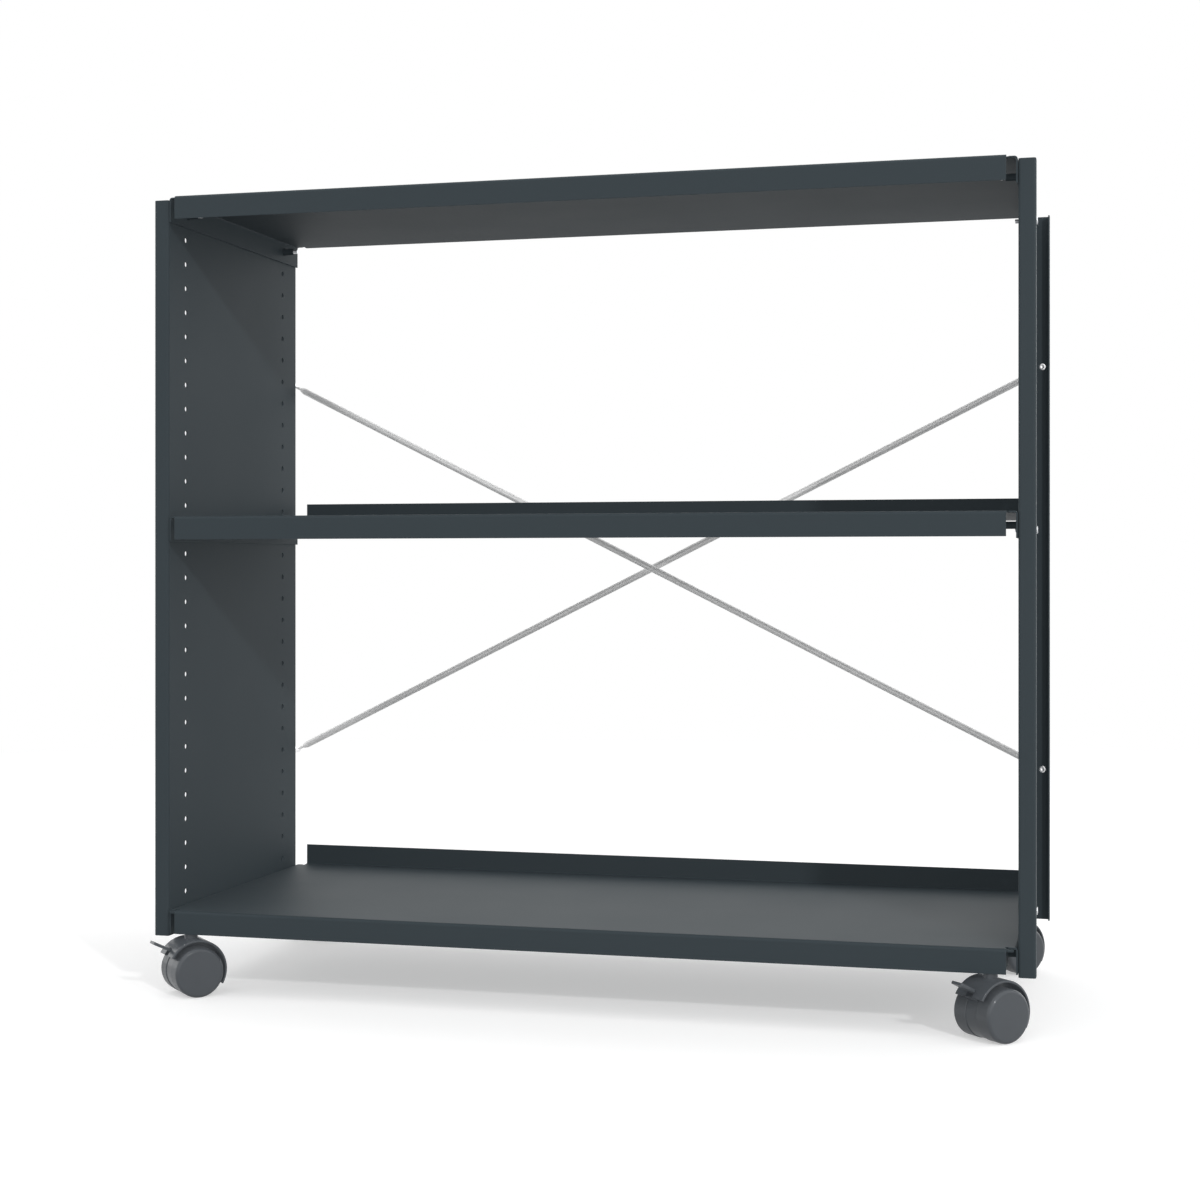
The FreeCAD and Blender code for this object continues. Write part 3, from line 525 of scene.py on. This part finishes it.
def side_panel(side, sign):
    """The channel of a side panel, open outward, with its shelf holes and brace holes."""
    half = GAUGE / 2
    outer, inner = FLANGE - half, half
    edge, free = HALF_DEPTH - half, HALF_DEPTH - PANEL_RETURN
    cell = HOLE_PITCH / 2
    front = [(outer, -free), (outer, -edge), (inner, -edge), (inner, -HOLE_COLUMN - cell),
             (inner, -HOLE_COLUMN + cell)]
    corners = front + [(a, -b) for a, b in reversed(front)]
    levels = [0.0] + [HOLE_FIRST + HOLE_PITCH * (row + 0.5) for row in range(HOLE_COUNT - 1)]
    levels.append(PANEL_HEIGHT)
    holes = []
    for row in range(HOLE_COUNT):
        for y_sign in SIGNS:
            holes.append((inner, y_sign * HOLE_COLUMN, HOLE_FIRST + HOLE_PITCH * row, HOLE_RADIUS))
    for up in SIGNS:
        holes.append((FLANGE / 2, edge, PANEL_HEIGHT / 2 + up * BRACE_RISE / 2, PIN_HOLE_RADIUS))
    soup = Soup()
    folded_sheet(soup, corners, GAUGE, PANEL_BEND, levels,
                 lambda a, b, level: (sign * (WEB_X + a), b, PANEL_BOTTOM + level), holes)
    finish_piece(make_object("panel_" + side, soup), "unit", "powder_coat", "side_panel_" + side)


# ---------------------------------------------------------------- shelves

SHELF_HIGH = box_mm("shelf_middle")[1]
SHELF_HALF_DEPTH = SHELF_HIGH.y
SHELF_HALF_LENGTH = SHELF_HIGH.x
SHELF_BEND = 3.0
CORNER_CUT = 10.0
END_SETBACK = 9.0
END_FLANGE = 25.0
LIP = 23.5
UPSTAND = 22.5
RELIEF_RADIUS = 2.0
RELIEF_STEPS = 24
SHELF_HOLE_RADIUS = 2.5
SHELF_TOP = END_FLANGE / 2
SCREW_CELL = 8.0


def screw_height(level):
    """Height of a shelf's screws above the floor: the middle of its end flanges."""
    return box_mm("shelf_" + level)[0].z + END_FLANGE / 2


def shelf(level):
    """A folded tray: front lip down, rear upstand up, an end flange down at each side."""
    origin_z = screw_height(level)
    middle = SHELF_TOP - GAUGE / 2
    lip_y = SHELF_HALF_DEPTH - GAUGE / 2
    flat_y = SHELF_HALF_DEPTH - SHELF_BEND
    lip_x = SHELF_HALF_LENGTH - CORNER_CUT
    end_x = SHELF_HALF_LENGTH - GAUGE / 2
    flat_x = SHELF_HALF_LENGTH - SHELF_BEND
    end_y = SHELF_HALF_DEPTH - END_SETBACK
    soup = Soup()

    def along_x(a, b, level_x):
        return (level_x, a, origin_z + b)

    def along_y(sign):
        return lambda a, b, level_y: (sign * a, level_y, origin_z + b)

    lip = [(-flat_y, middle), (-lip_y, middle), (-lip_y, SHELF_TOP - LIP)]
    upstand = [(flat_y, middle), (lip_y, middle), (lip_y, SHELF_TOP + UPSTAND)]
    for corners in (lip, upstand):
        folded_sheet(soup, corners, GAUGE, SHELF_BEND, [-lip_x, lip_x], along_x, open_start=True)
    levels = [-end_y, -HOLE_COLUMN - SCREW_CELL, -HOLE_COLUMN + SCREW_CELL]
    levels += [-value for value in reversed(levels)]
    down = [(flat_x, middle), (end_x, middle), (end_x, SCREW_CELL), (end_x, -SCREW_CELL),
            (end_x, -END_FLANGE / 2)]
    holes = [(end_x, 0, y_sign * HOLE_COLUMN, SHELF_HOLE_RADIUS) for y_sign in SIGNS]
    for sign in SIGNS:
        folded_sheet(soup, down, GAUGE, SHELF_BEND, levels, along_y(sign), holes, open_start=True)

    relief = arc_points((lip_x, -end_y), RELIEF_RADIUS, -90, -360, RELIEF_STEPS)
    corner = [(lip_x, -flat_y)] + relief + [(flat_x, -end_y)]
    right = corner + [(flat_x, y) for y in levels[1:-1]] + [(x, -y) for x, y in reversed(corner)]
    outline = right + [(-x, -y) for x, y in right]
    upper, lower = origin_z + SHELF_TOP, origin_z + SHELF_TOP - GAUGE
    soup.face([(x, y, upper) for x, y in outline])
    soup.face([(x, y, lower) for x, y in outline])
    for x_sign in SIGNS:
        for y_sign in SIGNS:
            edge = [(x_sign * x, -y_sign * y) for x, y in corner]
            soup.strip([(x, y, upper) for x, y in edge], [(x, y, lower) for x, y in edge])
    finish_piece(make_object("tray_" + level, soup), "unit", "powder_coat", "shelf_" + level)


# ---------------------------------------------------------------- screws

SCREW_LENGTH = 20.0
SCREW_RADIUS = 2.45
SCREW_PITCH = 0.8
SCREW_THREAD_DEPTH = 0.4
SCREW_STEPS = 24
SCREW_SEAT_GAP = 0.1     # from the head's seat to the thread
SCREW_TIP_LENGTH, SCREW_TIP_RADIUS = 0.6, 1.8
HEAD_RADIUS = 4.25
HEAD_HEIGHT = 3.5
HEAD_SEAT_EDGE = 0.15
HEAD_ROUND = 0.4
HEAD_ROUND_ANGLES = (30, 60, 90)
HEAD_STEPS = 48
SLOT_WIDTH = 1.2
SLOT_DEPTH = 1.4
NUT_RADIUS = 3.5
NUT_LENGTH = 12.0
NUT_CLEARANCE = 0.05
NUT_EDGE = 0.3
NUT_BULGE = ((0.0, 0.9), (1.6, 0.6), (2.6, 0.0))     # distance from the flange, swelling there
RINGS_PER_TURN = 6


def threaded(soup, place, start, end, radius, pitch, depth, steps):
    """A helical groove in a cylinder, fading out at both ends; returns its first and last ring."""
    rings = []
    count = int(round((end - start) / pitch * RINGS_PER_TURN))
    for number in range(count + 1):
        along = start + (end - start) * number / count
        ring = []
        for step in range(steps):
            angle = math.tau * step / steps
            phase = ((along - start) / pitch - step / steps) % 1.0
            fade = min(1.0, (along - start) / pitch, (end - along) / pitch)
            crest = abs(2 * phase - 1)
            local = radius - depth * fade * (1 - crest)
            ring.append(place(along, local * math.cos(angle), local * math.sin(angle)))
        rings.append(ring)
    for first, second in zip(rings, rings[1:]):
        soup.strip(first, second, closed=True)
    return rings[0], rings[-1]


def cheese_head(soup, place):
    """A cheese head with a slot across it, from its seat at 0 to its flat top."""
    half = SLOT_WIDTH / 2
    slot_floor = HEAD_HEIGHT - SLOT_DEPTH
    round_start, round_centre = HEAD_HEIGHT - HEAD_ROUND, HEAD_RADIUS - HEAD_ROUND
    levels = [(0.0, HEAD_RADIUS - HEAD_SEAT_EDGE), (HEAD_SEAT_EDGE, HEAD_RADIUS),
              (slot_floor, HEAD_RADIUS), (round_start, HEAD_RADIUS)]
    levels += [(round_start + HEAD_ROUND * math.sin(math.radians(angle)),
                round_centre + HEAD_ROUND * math.cos(math.radians(angle)))
               for angle in HEAD_ROUND_ANGLES]

    def half_ring(along, radius, sign):
        """Points of one half of a ring, from one side of the slot round to the other."""
        start = math.asin(half / radius)
        points = []
        for step in range(HEAD_STEPS // 2 + 1):
            angle = start + (math.pi - 2 * start) * step / (HEAD_STEPS // 2)
            points.append(place(along, radius * math.cos(angle), sign * radius * math.sin(angle)))
        return points

    def slot_side(along, radius, sign):
        """The two ends of a slot wall's line at one level."""
        reach = math.sqrt(radius * radius - half * half)
        return place(along, reach, sign * half), place(along, -reach, sign * half)

    for sign in SIGNS:
        rings = [half_ring(along, radius, sign) for along, radius in levels]
        for first, second in zip(rings, rings[1:]):
            soup.strip(first, second)
        soup.face(rings[-1])
        upper = [slot_side(along, radius, sign) for along, radius in levels[2:]]
        soup.face([pair[0] for pair in upper] + [pair[1] for pair in reversed(upper)])
    bands = [[slot_side(along, radius, sign) for sign in SIGNS] for along, radius in levels[:3]]
    for first, second in zip(bands, bands[1:]):
        for end in (0, 1):
            soup.face([first[0][end], first[1][end], second[1][end], second[0][end]])
    soup.face([bands[2][0][0], bands[2][1][0], bands[2][1][1], bands[2][0][1]])
    seat_radius = levels[0][1]
    soup.face(half_ring(0.0, seat_radius, 1) + half_ring(0.0, seat_radius, -1)[::-1])


def rivet_nuts(level):
    """A coated rivet nut behind each screw hole of a shelf, round the screw's thread."""
    soup = Soup()
    inside = SHELF_HALF_LENGTH - GAUGE
    bore = SCREW_RADIUS + NUT_CLEARANCE
    profile = [(0.0, bore)] + [(along, NUT_RADIUS + swelling) for along, swelling in NUT_BULGE]
    profile += [(NUT_LENGTH - NUT_EDGE, NUT_RADIUS), (NUT_LENGTH, NUT_RADIUS - NUT_EDGE)]
    profile += [(NUT_LENGTH, bore), (0.0, bore)]
    for x_sign in SIGNS:
        for y_sign in SIGNS:
            origin = (x_sign * inside, y_sign * HOLE_COLUMN, screw_height(level))
            turned(soup, profile, axis_frame(origin, (-x_sign, 0, 0)), SMALL_TURN_STEPS)
    finish_piece(make_object("rivet_nuts_" + level, soup, bevel=0), "unit", "powder_coat",
                 "shelf_" + level)


def shelf_screws(level):
    """The four slotted cheese-head screws of one shelf."""
    soup = Soup()
    for x_sign in SIGNS:
        for y_sign in SIGNS:
            origin = (x_sign * (WEB_X + GAUGE), y_sign * HOLE_COLUMN, screw_height(level))
            place = axis_frame(origin, (x_sign, 0, 0))
            cheese_head(soup, place)
            first, last = threaded(soup, place, SCREW_TIP_LENGTH - SCREW_LENGTH, -SCREW_SEAT_GAP,
                                   SCREW_RADIUS, SCREW_PITCH, SCREW_THREAD_DEPTH, SCREW_STEPS)
            angles = [math.tau * step / SCREW_STEPS for step in range(SCREW_STEPS)]
            tip = [place(-SCREW_LENGTH, SCREW_TIP_RADIUS * math.cos(angle),
                         SCREW_TIP_RADIUS * math.sin(angle)) for angle in angles]
            soup.strip(first, tip, closed=True)
            soup.face(tip)
            soup.face(last)
    finish_piece(make_object("screws_" + level, soup, bevel=0), "unit", "zinc_steel",
                 "shelf_screws_" + level)


# ---------------------------------------------------------------- cross brace

ROD_RADIUS = 3.75
ROD_NECK_RADIUS = 1.5
ROD_NECK = 5.5
ROD_TIP_RADIUS = 2.0
ROD_TAPER = 4.5
ROD_TAPER_START = ((-1.0, 0.0), (-0.3, -0.08), (0.4, -0.35))     # distance, change of radius
ROD_TAPER_END = ((-0.4, 0.2), (0.0, -0.1))
NECK_PITCH = 0.5
NECK_THREAD_DEPTH = 0.25
PIN_PROUD = 0.5
PIN_MARK = ((0.25, 0.0), (0.12, 0.55), (0.0, 1.1))               # depth, radius
PIN_EDGES = ((0.0, -0.35), (0.14, -0.07), (0.35, 0.0))           # distance, change of radius
SHOULDER_RADIUS = 4.75
SHOULDER_LENGTH = 2.0
SHOULDER_SEAT_EDGE, SHOULDER_EDGE = 0.2, 0.3
TAIL_EDGES = ((-0.5, 0.0), (-0.15, -0.15), (0.0, -0.5))          # distance, change of radius
BRACES = (("falling", 1), ("rising", -1))


def rod_depth(name):
    """Distance of a rod's axis behind the middle of the unit."""
    low, high = box_mm("brace_rod_" + name)
    return (low.y + high.y) / 2


def brace_rod(name, slope):
    """A round rod with a tapered, threaded end at each side."""
    run = WEB_X + FLANGE / 2
    middle = PANEL_BOTTOM + PANEL_HEIGHT / 2
    left = Vector((-run, rod_depth(name), middle + slope * BRACE_RISE / 2))
    right = Vector((run, rod_depth(name), middle - slope * BRACE_RISE / 2))
    half = (right - left).length / 2
    tip = half - PIN_RADIUS - ROD_NECK
    full = tip - ROD_TAPER
    end = [(full + along, ROD_RADIUS + change) for along, change in ROD_TAPER_START]
    end += [(tip + along, ROD_TIP_RADIUS + change) for along, change in ROD_TAPER_END]
    end.append((tip, ROD_NECK_RADIUS))
    soup = Soup()
    place = axis_frame((left + right) / 2, right - left)
    turned(soup, [(-along, radius) for along, radius in reversed(end)] + end, place,
           SMALL_TURN_STEPS)
    inside = half - PIN_RADIUS / 2
    for start, finish in ((tip, inside), (-inside, -tip)):
        first, last = threaded(soup, place, start, finish, ROD_NECK_RADIUS, NECK_PITCH,
                               NECK_THREAD_DEPTH, SMALL_TURN_STEPS)
        soup.face(last if start > 0 else first)
    finish_piece(make_object("rod_" + name, soup, bevel=0), "unit", "brace_grey", "brace_rod_" + name)


def brace_pins(name, slope):
    """The two turned pins of a rod, riveted in the rear flanges."""
    soup = Soup()
    start = HALF_DEPTH - GAUGE - PIN_PROUD
    shoulder_end = HALF_DEPTH + SHOULDER_LENGTH
    tail_end = rod_depth(name) + PIN_RADIUS
    shape = [(start + depth, radius) for depth, radius in PIN_MARK]
    shape += [(start + along, PIN_RADIUS + change) for along, change in PIN_EDGES]
    shape += [(HALF_DEPTH, PIN_RADIUS), (HALF_DEPTH, SHOULDER_RADIUS - SHOULDER_SEAT_EDGE)]
    shape += [(HALF_DEPTH + SHOULDER_SEAT_EDGE, SHOULDER_RADIUS)]
    shape += [(shoulder_end - SHOULDER_EDGE, SHOULDER_RADIUS)]
    shape += [(shoulder_end, SHOULDER_RADIUS - SHOULDER_EDGE), (shoulder_end, PIN_RADIUS)]
    shape += [(tail_end + along, PIN_RADIUS + change) for along, change in TAIL_EDGES]
    shape.append((tail_end, 0))
    for x_sign in SIGNS:
        x = x_sign * (WEB_X + FLANGE / 2)
        z = PANEL_BOTTOM + PANEL_HEIGHT / 2 - x_sign * slope * BRACE_RISE / 2
        turned(soup, shape, axis_frame((x, 0, z), (0, 1, 0)))
    finish_piece(make_object("pins_" + name, soup, bevel=0), "unit", "bright_steel",
                 "brace_pins_" + name)


# ---------------------------------------------------------------- casters
# At rest all casters point the same way: ACROSS runs along the axle, BACK away from the brake lever.

ACROSS = Vector(AXLE_DIRECTION)
BACK = Vector((math.sqrt(0.5), math.sqrt(0.5), 0.0))
UP = Vector((0, 0, 1))
WHEEL_STEPS = 96
WHEEL_BORE = 3.05
WHEEL_HUB = 7.0
WHEEL_RIM = 4.0
WHEEL_WEB = 3.0
WHEEL_SHOULDER = 3.5
WHEEL_SHOULDER_STEPS = 10
WHEEL_INNER_ROUND = 0.8
WHEEL_INNER_STEPS = 4
WHEEL_HALF_GAP = 7.1
WHEEL_FACE = 25.0
STEM_RADIUS = 4.0
STEM_EDGE = 0.4
STEM_PITCH = 1.25
STEM_THREAD_DEPTH = 0.6
COLLAR_LOW, COLLAR_HIGH = 4.1, 6.0         # above the panels' bottom edge
GROOVE_LOW, GROOVE_HIGH = -23.0, -22.0
GROOVE_RADIUS = 3.3
BUSH_RADIUS = 6.0
BUSH_BORE = 4.05
BUSH_EDGE = 0.5
LEVER_EDGE = 0.7


def stem_axis(key):
    """A point of a caster stem's axis, level with the panels' bottom edge."""
    low, high = box_mm("caster_%s_stem" % key)
    return Vector(((low.x + high.x) / 2, (low.y + high.y) / 2, PANEL_BOTTOM))


def joint_place(name):
    """A joint's point in millimetres."""
    return [Vector(joint["pos_m"]) / MM for joint in frame["joints"] if joint["name"] == name][0]


def wheel(key, side, sign):
    """A twin wheel with its origin at its centre: tread, rounded shoulder, closed disc and hub."""
    name = "caster_%s_wheel_%s" % (key, side)
    web = WHEEL_FACE - WHEEL_WEB
    shoulder = (WHEEL_FACE - WHEEL_SHOULDER, WHEEL_RADIUS - WHEEL_SHOULDER)
    corner = (WHEEL_HALF_GAP + WHEEL_INNER_ROUND, WHEEL_RADIUS - WHEEL_INNER_ROUND)
    profile = [(web, 0), (web, WHEEL_BORE), (WHEEL_HALF_GAP, WHEEL_BORE), (WHEEL_HALF_GAP, WHEEL_HUB)]
    profile += [(web, WHEEL_HUB), (web, WHEEL_RADIUS - WHEEL_RIM)]
    profile += [(WHEEL_HALF_GAP, WHEEL_RADIUS - WHEEL_RIM)]
    profile += arc_points(corner, WHEEL_INNER_ROUND, 180, 90, WHEEL_INNER_STEPS)
    profile += arc_points(shoulder, WHEEL_SHOULDER, 90, 0, WHEEL_SHOULDER_STEPS)
    profile += [(WHEEL_FACE, 0)]
    soup = Soup()
    turned(soup, profile, lambda along, u, v: ACROSS * (sign * along) + BACK * u + UP * v,
           WHEEL_STEPS)
    piece = make_object("wheel_%s_%s" % (key, side), soup, bevel=0)
    piece.location = joint_place(name + "_spin") * MM
    finish_piece(piece, name, "wheel_plastic", name)


def stem(key):
    """A threaded stem with its collar, a smooth pin and a groove for the retaining ring."""
    low, high = box_mm("caster_%s_stem" % key)
    collar = (high.x - low.x) / 2
    bottom, top = low.z - PANEL_BOTTOM, high.z - PANEL_BOTTOM
    profile = [(bottom, 0), (bottom, STEM_RADIUS - STEM_EDGE), (bottom + STEM_EDGE, STEM_RADIUS)]
    profile += [(GROOVE_LOW, STEM_RADIUS), (GROOVE_LOW, GROOVE_RADIUS), (GROOVE_HIGH, GROOVE_RADIUS)]
    profile += [(GROOVE_HIGH, STEM_RADIUS), (COLLAR_LOW, STEM_RADIUS)]
    profile += [(COLLAR_LOW, collar - STEM_EDGE), (COLLAR_LOW + STEM_EDGE, collar)]
    profile += [(COLLAR_HIGH - STEM_EDGE, collar), (COLLAR_HIGH, collar - STEM_EDGE)]
    profile.append((COLLAR_HIGH, STEM_RADIUS))
    soup = Soup()
    place = axis_frame(stem_axis(key), UP)
    turned(soup, profile, place)
    rings = threaded(soup, place, COLLAR_HIGH, top, STEM_RADIUS, STEM_PITCH, STEM_THREAD_DEPTH,
                     TURN_STEPS)
    soup.face(rings[1])
    finish_piece(make_object("stem_" + key, soup, bevel=0), "unit", "zinc_steel",
                 "caster_%s_stem" % key)


def caster(key):
    """The pieces of one caster; its ring, axle and lever pin stay as they are."""
    prefix = "caster_%s_" % key
    stem(key)
    finish_piece(softened("bracket_" + key, "caster_bracket_" + key), "unit", "powder_coat",
                 "caster_bracket_" + key)
    finish_piece(softened("housing_" + key, prefix + "housing"), prefix + "swivel", "caster_plastic",
                 prefix + "housing")
    finish_piece(softened("lever_" + key, prefix + "lever", LEVER_EDGE), prefix + "brake",
                 "caster_plastic", prefix + "lever")
    for side, sign in SIDES:
        wheel(key, side, sign)


def bushes():
    """The four threaded bushes, with a chamfer at each end."""
    low, high = [corner.z for corner in box_mm("caster_bushes")]
    profile = [(low, BUSH_BORE + BUSH_EDGE), (low, BUSH_RADIUS - BUSH_EDGE)]
    profile += [(low + BUSH_EDGE, BUSH_RADIUS), (high - BUSH_EDGE, BUSH_RADIUS)]
    profile += [(high, BUSH_RADIUS - BUSH_EDGE), (high, BUSH_BORE + BUSH_EDGE)]
    profile += [(high - BUSH_EDGE, BUSH_BORE), (low + BUSH_EDGE, BUSH_BORE)]
    profile.append((low, BUSH_BORE + BUSH_EDGE))
    soup = Soup()
    for key in CASTERS:
        axis = stem_axis(key)
        turned(soup, profile, axis_frame((axis.x, axis.y, 0), UP))
    finish_piece(make_object("bushes", soup, bevel=0), "unit", "zinc_steel", "caster_bushes")


# ---------------------------------------------------------------- camera, floor and light

CAMERA_PLACE = (0.52532, -2.04607, 0.4320)
CAMERA_TURN = 14.399
FOCAL_SHARE = 1.685201
SHIFT = (-0.01027, -0.02622)
SENSOR = 36.0


def camera():
    """The camera of the picture: level, turned a little to the left, with a shifted lens."""
    data = bpy.data.cameras.new("camera")
    data.sensor_width = SENSOR
    data.lens = FOCAL_SHARE * SENSOR
    data.shift_x, data.shift_y = SHIFT
    made = bpy.data.objects.new("camera", data)
    made.location = CAMERA_PLACE
    made.rotation_euler = (math.pi / 2, 0, math.radians(CAMERA_TURN))
    bpy.context.scene.collection.objects.link(made)
    bpy.context.scene.camera = made


FLOOR_RADIUS = 40.0
FLOOR_STEPS = 64
FLOOR_COLOUR = (0.80, 0.80, 0.80)
FLOOR_BOUNCE = (0.40, 0.40, 0.40)
FLOOR_GLOW = 0.30
FADE_START, FADE_END = 1.2, 3.0


def seen_directly(tree):
    """1 for rays from the camera, glossy rays and rays through glass; 0 for others."""
    path = node(tree, "ShaderNodeLightPath").outputs
    either = math_node(tree, "MAXIMUM", path["Is Camera Ray"], path["Is Glossy Ray"])
    return math_node(tree, "MAXIMUM", either, path["Is Transmission Ray"])


def floor():
    """A pale disc that keeps the object's shadow near it and turns plain white further out."""
    soup = Soup()
    rim = arc_points((0, 0), FLOOR_RADIUS / MM, 0, 360 - 360 / FLOOR_STEPS, FLOOR_STEPS - 1)
    soup.face([(x, y, 0) for x, y in rim])
    made = make_object("floor", soup, bevel=0)
    material = bpy.data.materials.new("floor_white")
    material.use_nodes = True
    tree = material.node_tree
    tree.nodes.clear()
    position = object_position(tree)
    distance = node(tree, "ShaderNodeVectorMath", {0: position}, operation="LENGTH").outputs["Value"]
    far = remap(tree, distance, FADE_START, FADE_END, 0.0, 1.0)
    matt = node(tree, "ShaderNodeBsdfDiffuse", {"Color": (*FLOOR_COLOUR, 1.0)}).outputs["BSDF"]
    glow = node(tree, "ShaderNodeEmission", {"Strength": FLOOR_GLOW}).outputs["Emission"]
    lifted = node(tree, "ShaderNodeAddShader", {0: matt, 1: glow}).outputs["Shader"]
    white = node(tree, "ShaderNodeEmission", {"Strength": 1.0}).outputs["Emission"]
    shown = node(tree, "ShaderNodeMixShader", {"Fac": far, 1: lifted, 2: white}).outputs["Shader"]
    dim = node(tree, "ShaderNodeBsdfDiffuse", {"Color": (*FLOOR_BOUNCE, 1.0)}).outputs["BSDF"]
    both = node(tree, "ShaderNodeMixShader", {"Fac": seen_directly(tree), 1: dim, 2: shown})
    output = node(tree, "ShaderNodeOutputMaterial")
    tree.links.new(both.outputs["Shader"], output.inputs["Surface"])
    made.data.materials.append(material)


AMBIENT = 0.12       # strength of the surround as a light; it looks white at 1
KEY_FROM = (0.569, -0.716, 0.404)
KEY_DISTANCE = 6.0
KEY_SIZE = 0.30
KEY_POWER = 108.0
FILL_SPREAD = 90.0
FILLS = (("fill_front", (0, -1, 0), 1.75), ("fill_rear", (0, 1, 0), 1.75),
         ("fill_left", (-1, 0, 0), 1.80), ("fill_right", (1, 0, 0), 1.80),
         ("fill_above", (0, 0, 1), 1.45), ("fill_below", (0, 0, -1), 0.40))


def light():
    """A white surround, a key lamp from the right, front and above, and even fill from all sides."""
    world = bpy.data.worlds.new("studio")
    bpy.context.scene.world = world
    world.use_nodes = True
    tree = world.node_tree
    tree.nodes.clear()
    strength = remap(tree, seen_directly(tree), 0.0, 1.0, AMBIENT, 1.0)
    background = node(tree, "ShaderNodeBackground", {"Color": (1, 1, 1, 1), "Strength": strength})
    output = node(tree, "ShaderNodeOutputWorld")
    tree.links.new(background.outputs["Background"], output.inputs["Surface"])

    key = lamp("key", "AREA", KEY_FROM, KEY_POWER)
    key.shape = "DISK"
    key.size = KEY_SIZE
    for name, came_from, strength in FILLS:
        fill = lamp(name, "SUN", came_from, strength)
        fill.angle = math.radians(FILL_SPREAD)
        fill.use_shadow = False


def lamp(name, kind, came_from, power):
    """A lamp in the given direction from a point amid the unit, shining at that point."""
    data = bpy.data.lights.new(name, kind)
    data.energy = power
    made = bpy.data.objects.new(name, data)
    direction = Vector(came_from).normalized()
    made.location = Vector((0, 0, PANEL_HEIGHT / 2 * MM)) + direction * KEY_DISTANCE
    made.rotation_euler = direction.to_track_quat("Z", "Y").to_euler()
    bpy.context.scene.collection.objects.link(made)
    return data


# ---------------------------------------------------------------- the whole unit

def build_unit():
    dress_frame()
    for side, sign in SIDES:
        side_panel(side, sign)
    for level in LEVELS:
        shelf(level)
        rivet_nuts(level)
        shelf_screws(level)
    for name, slope in BRACES:
        brace_rod(name, slope)
        brace_pins(name, slope)
    bushes()
    for key in CASTERS:
        caster(key)


build_unit()
camera()
floor()
light()
bpy.context.scene.view_settings.view_transform = "Standard"
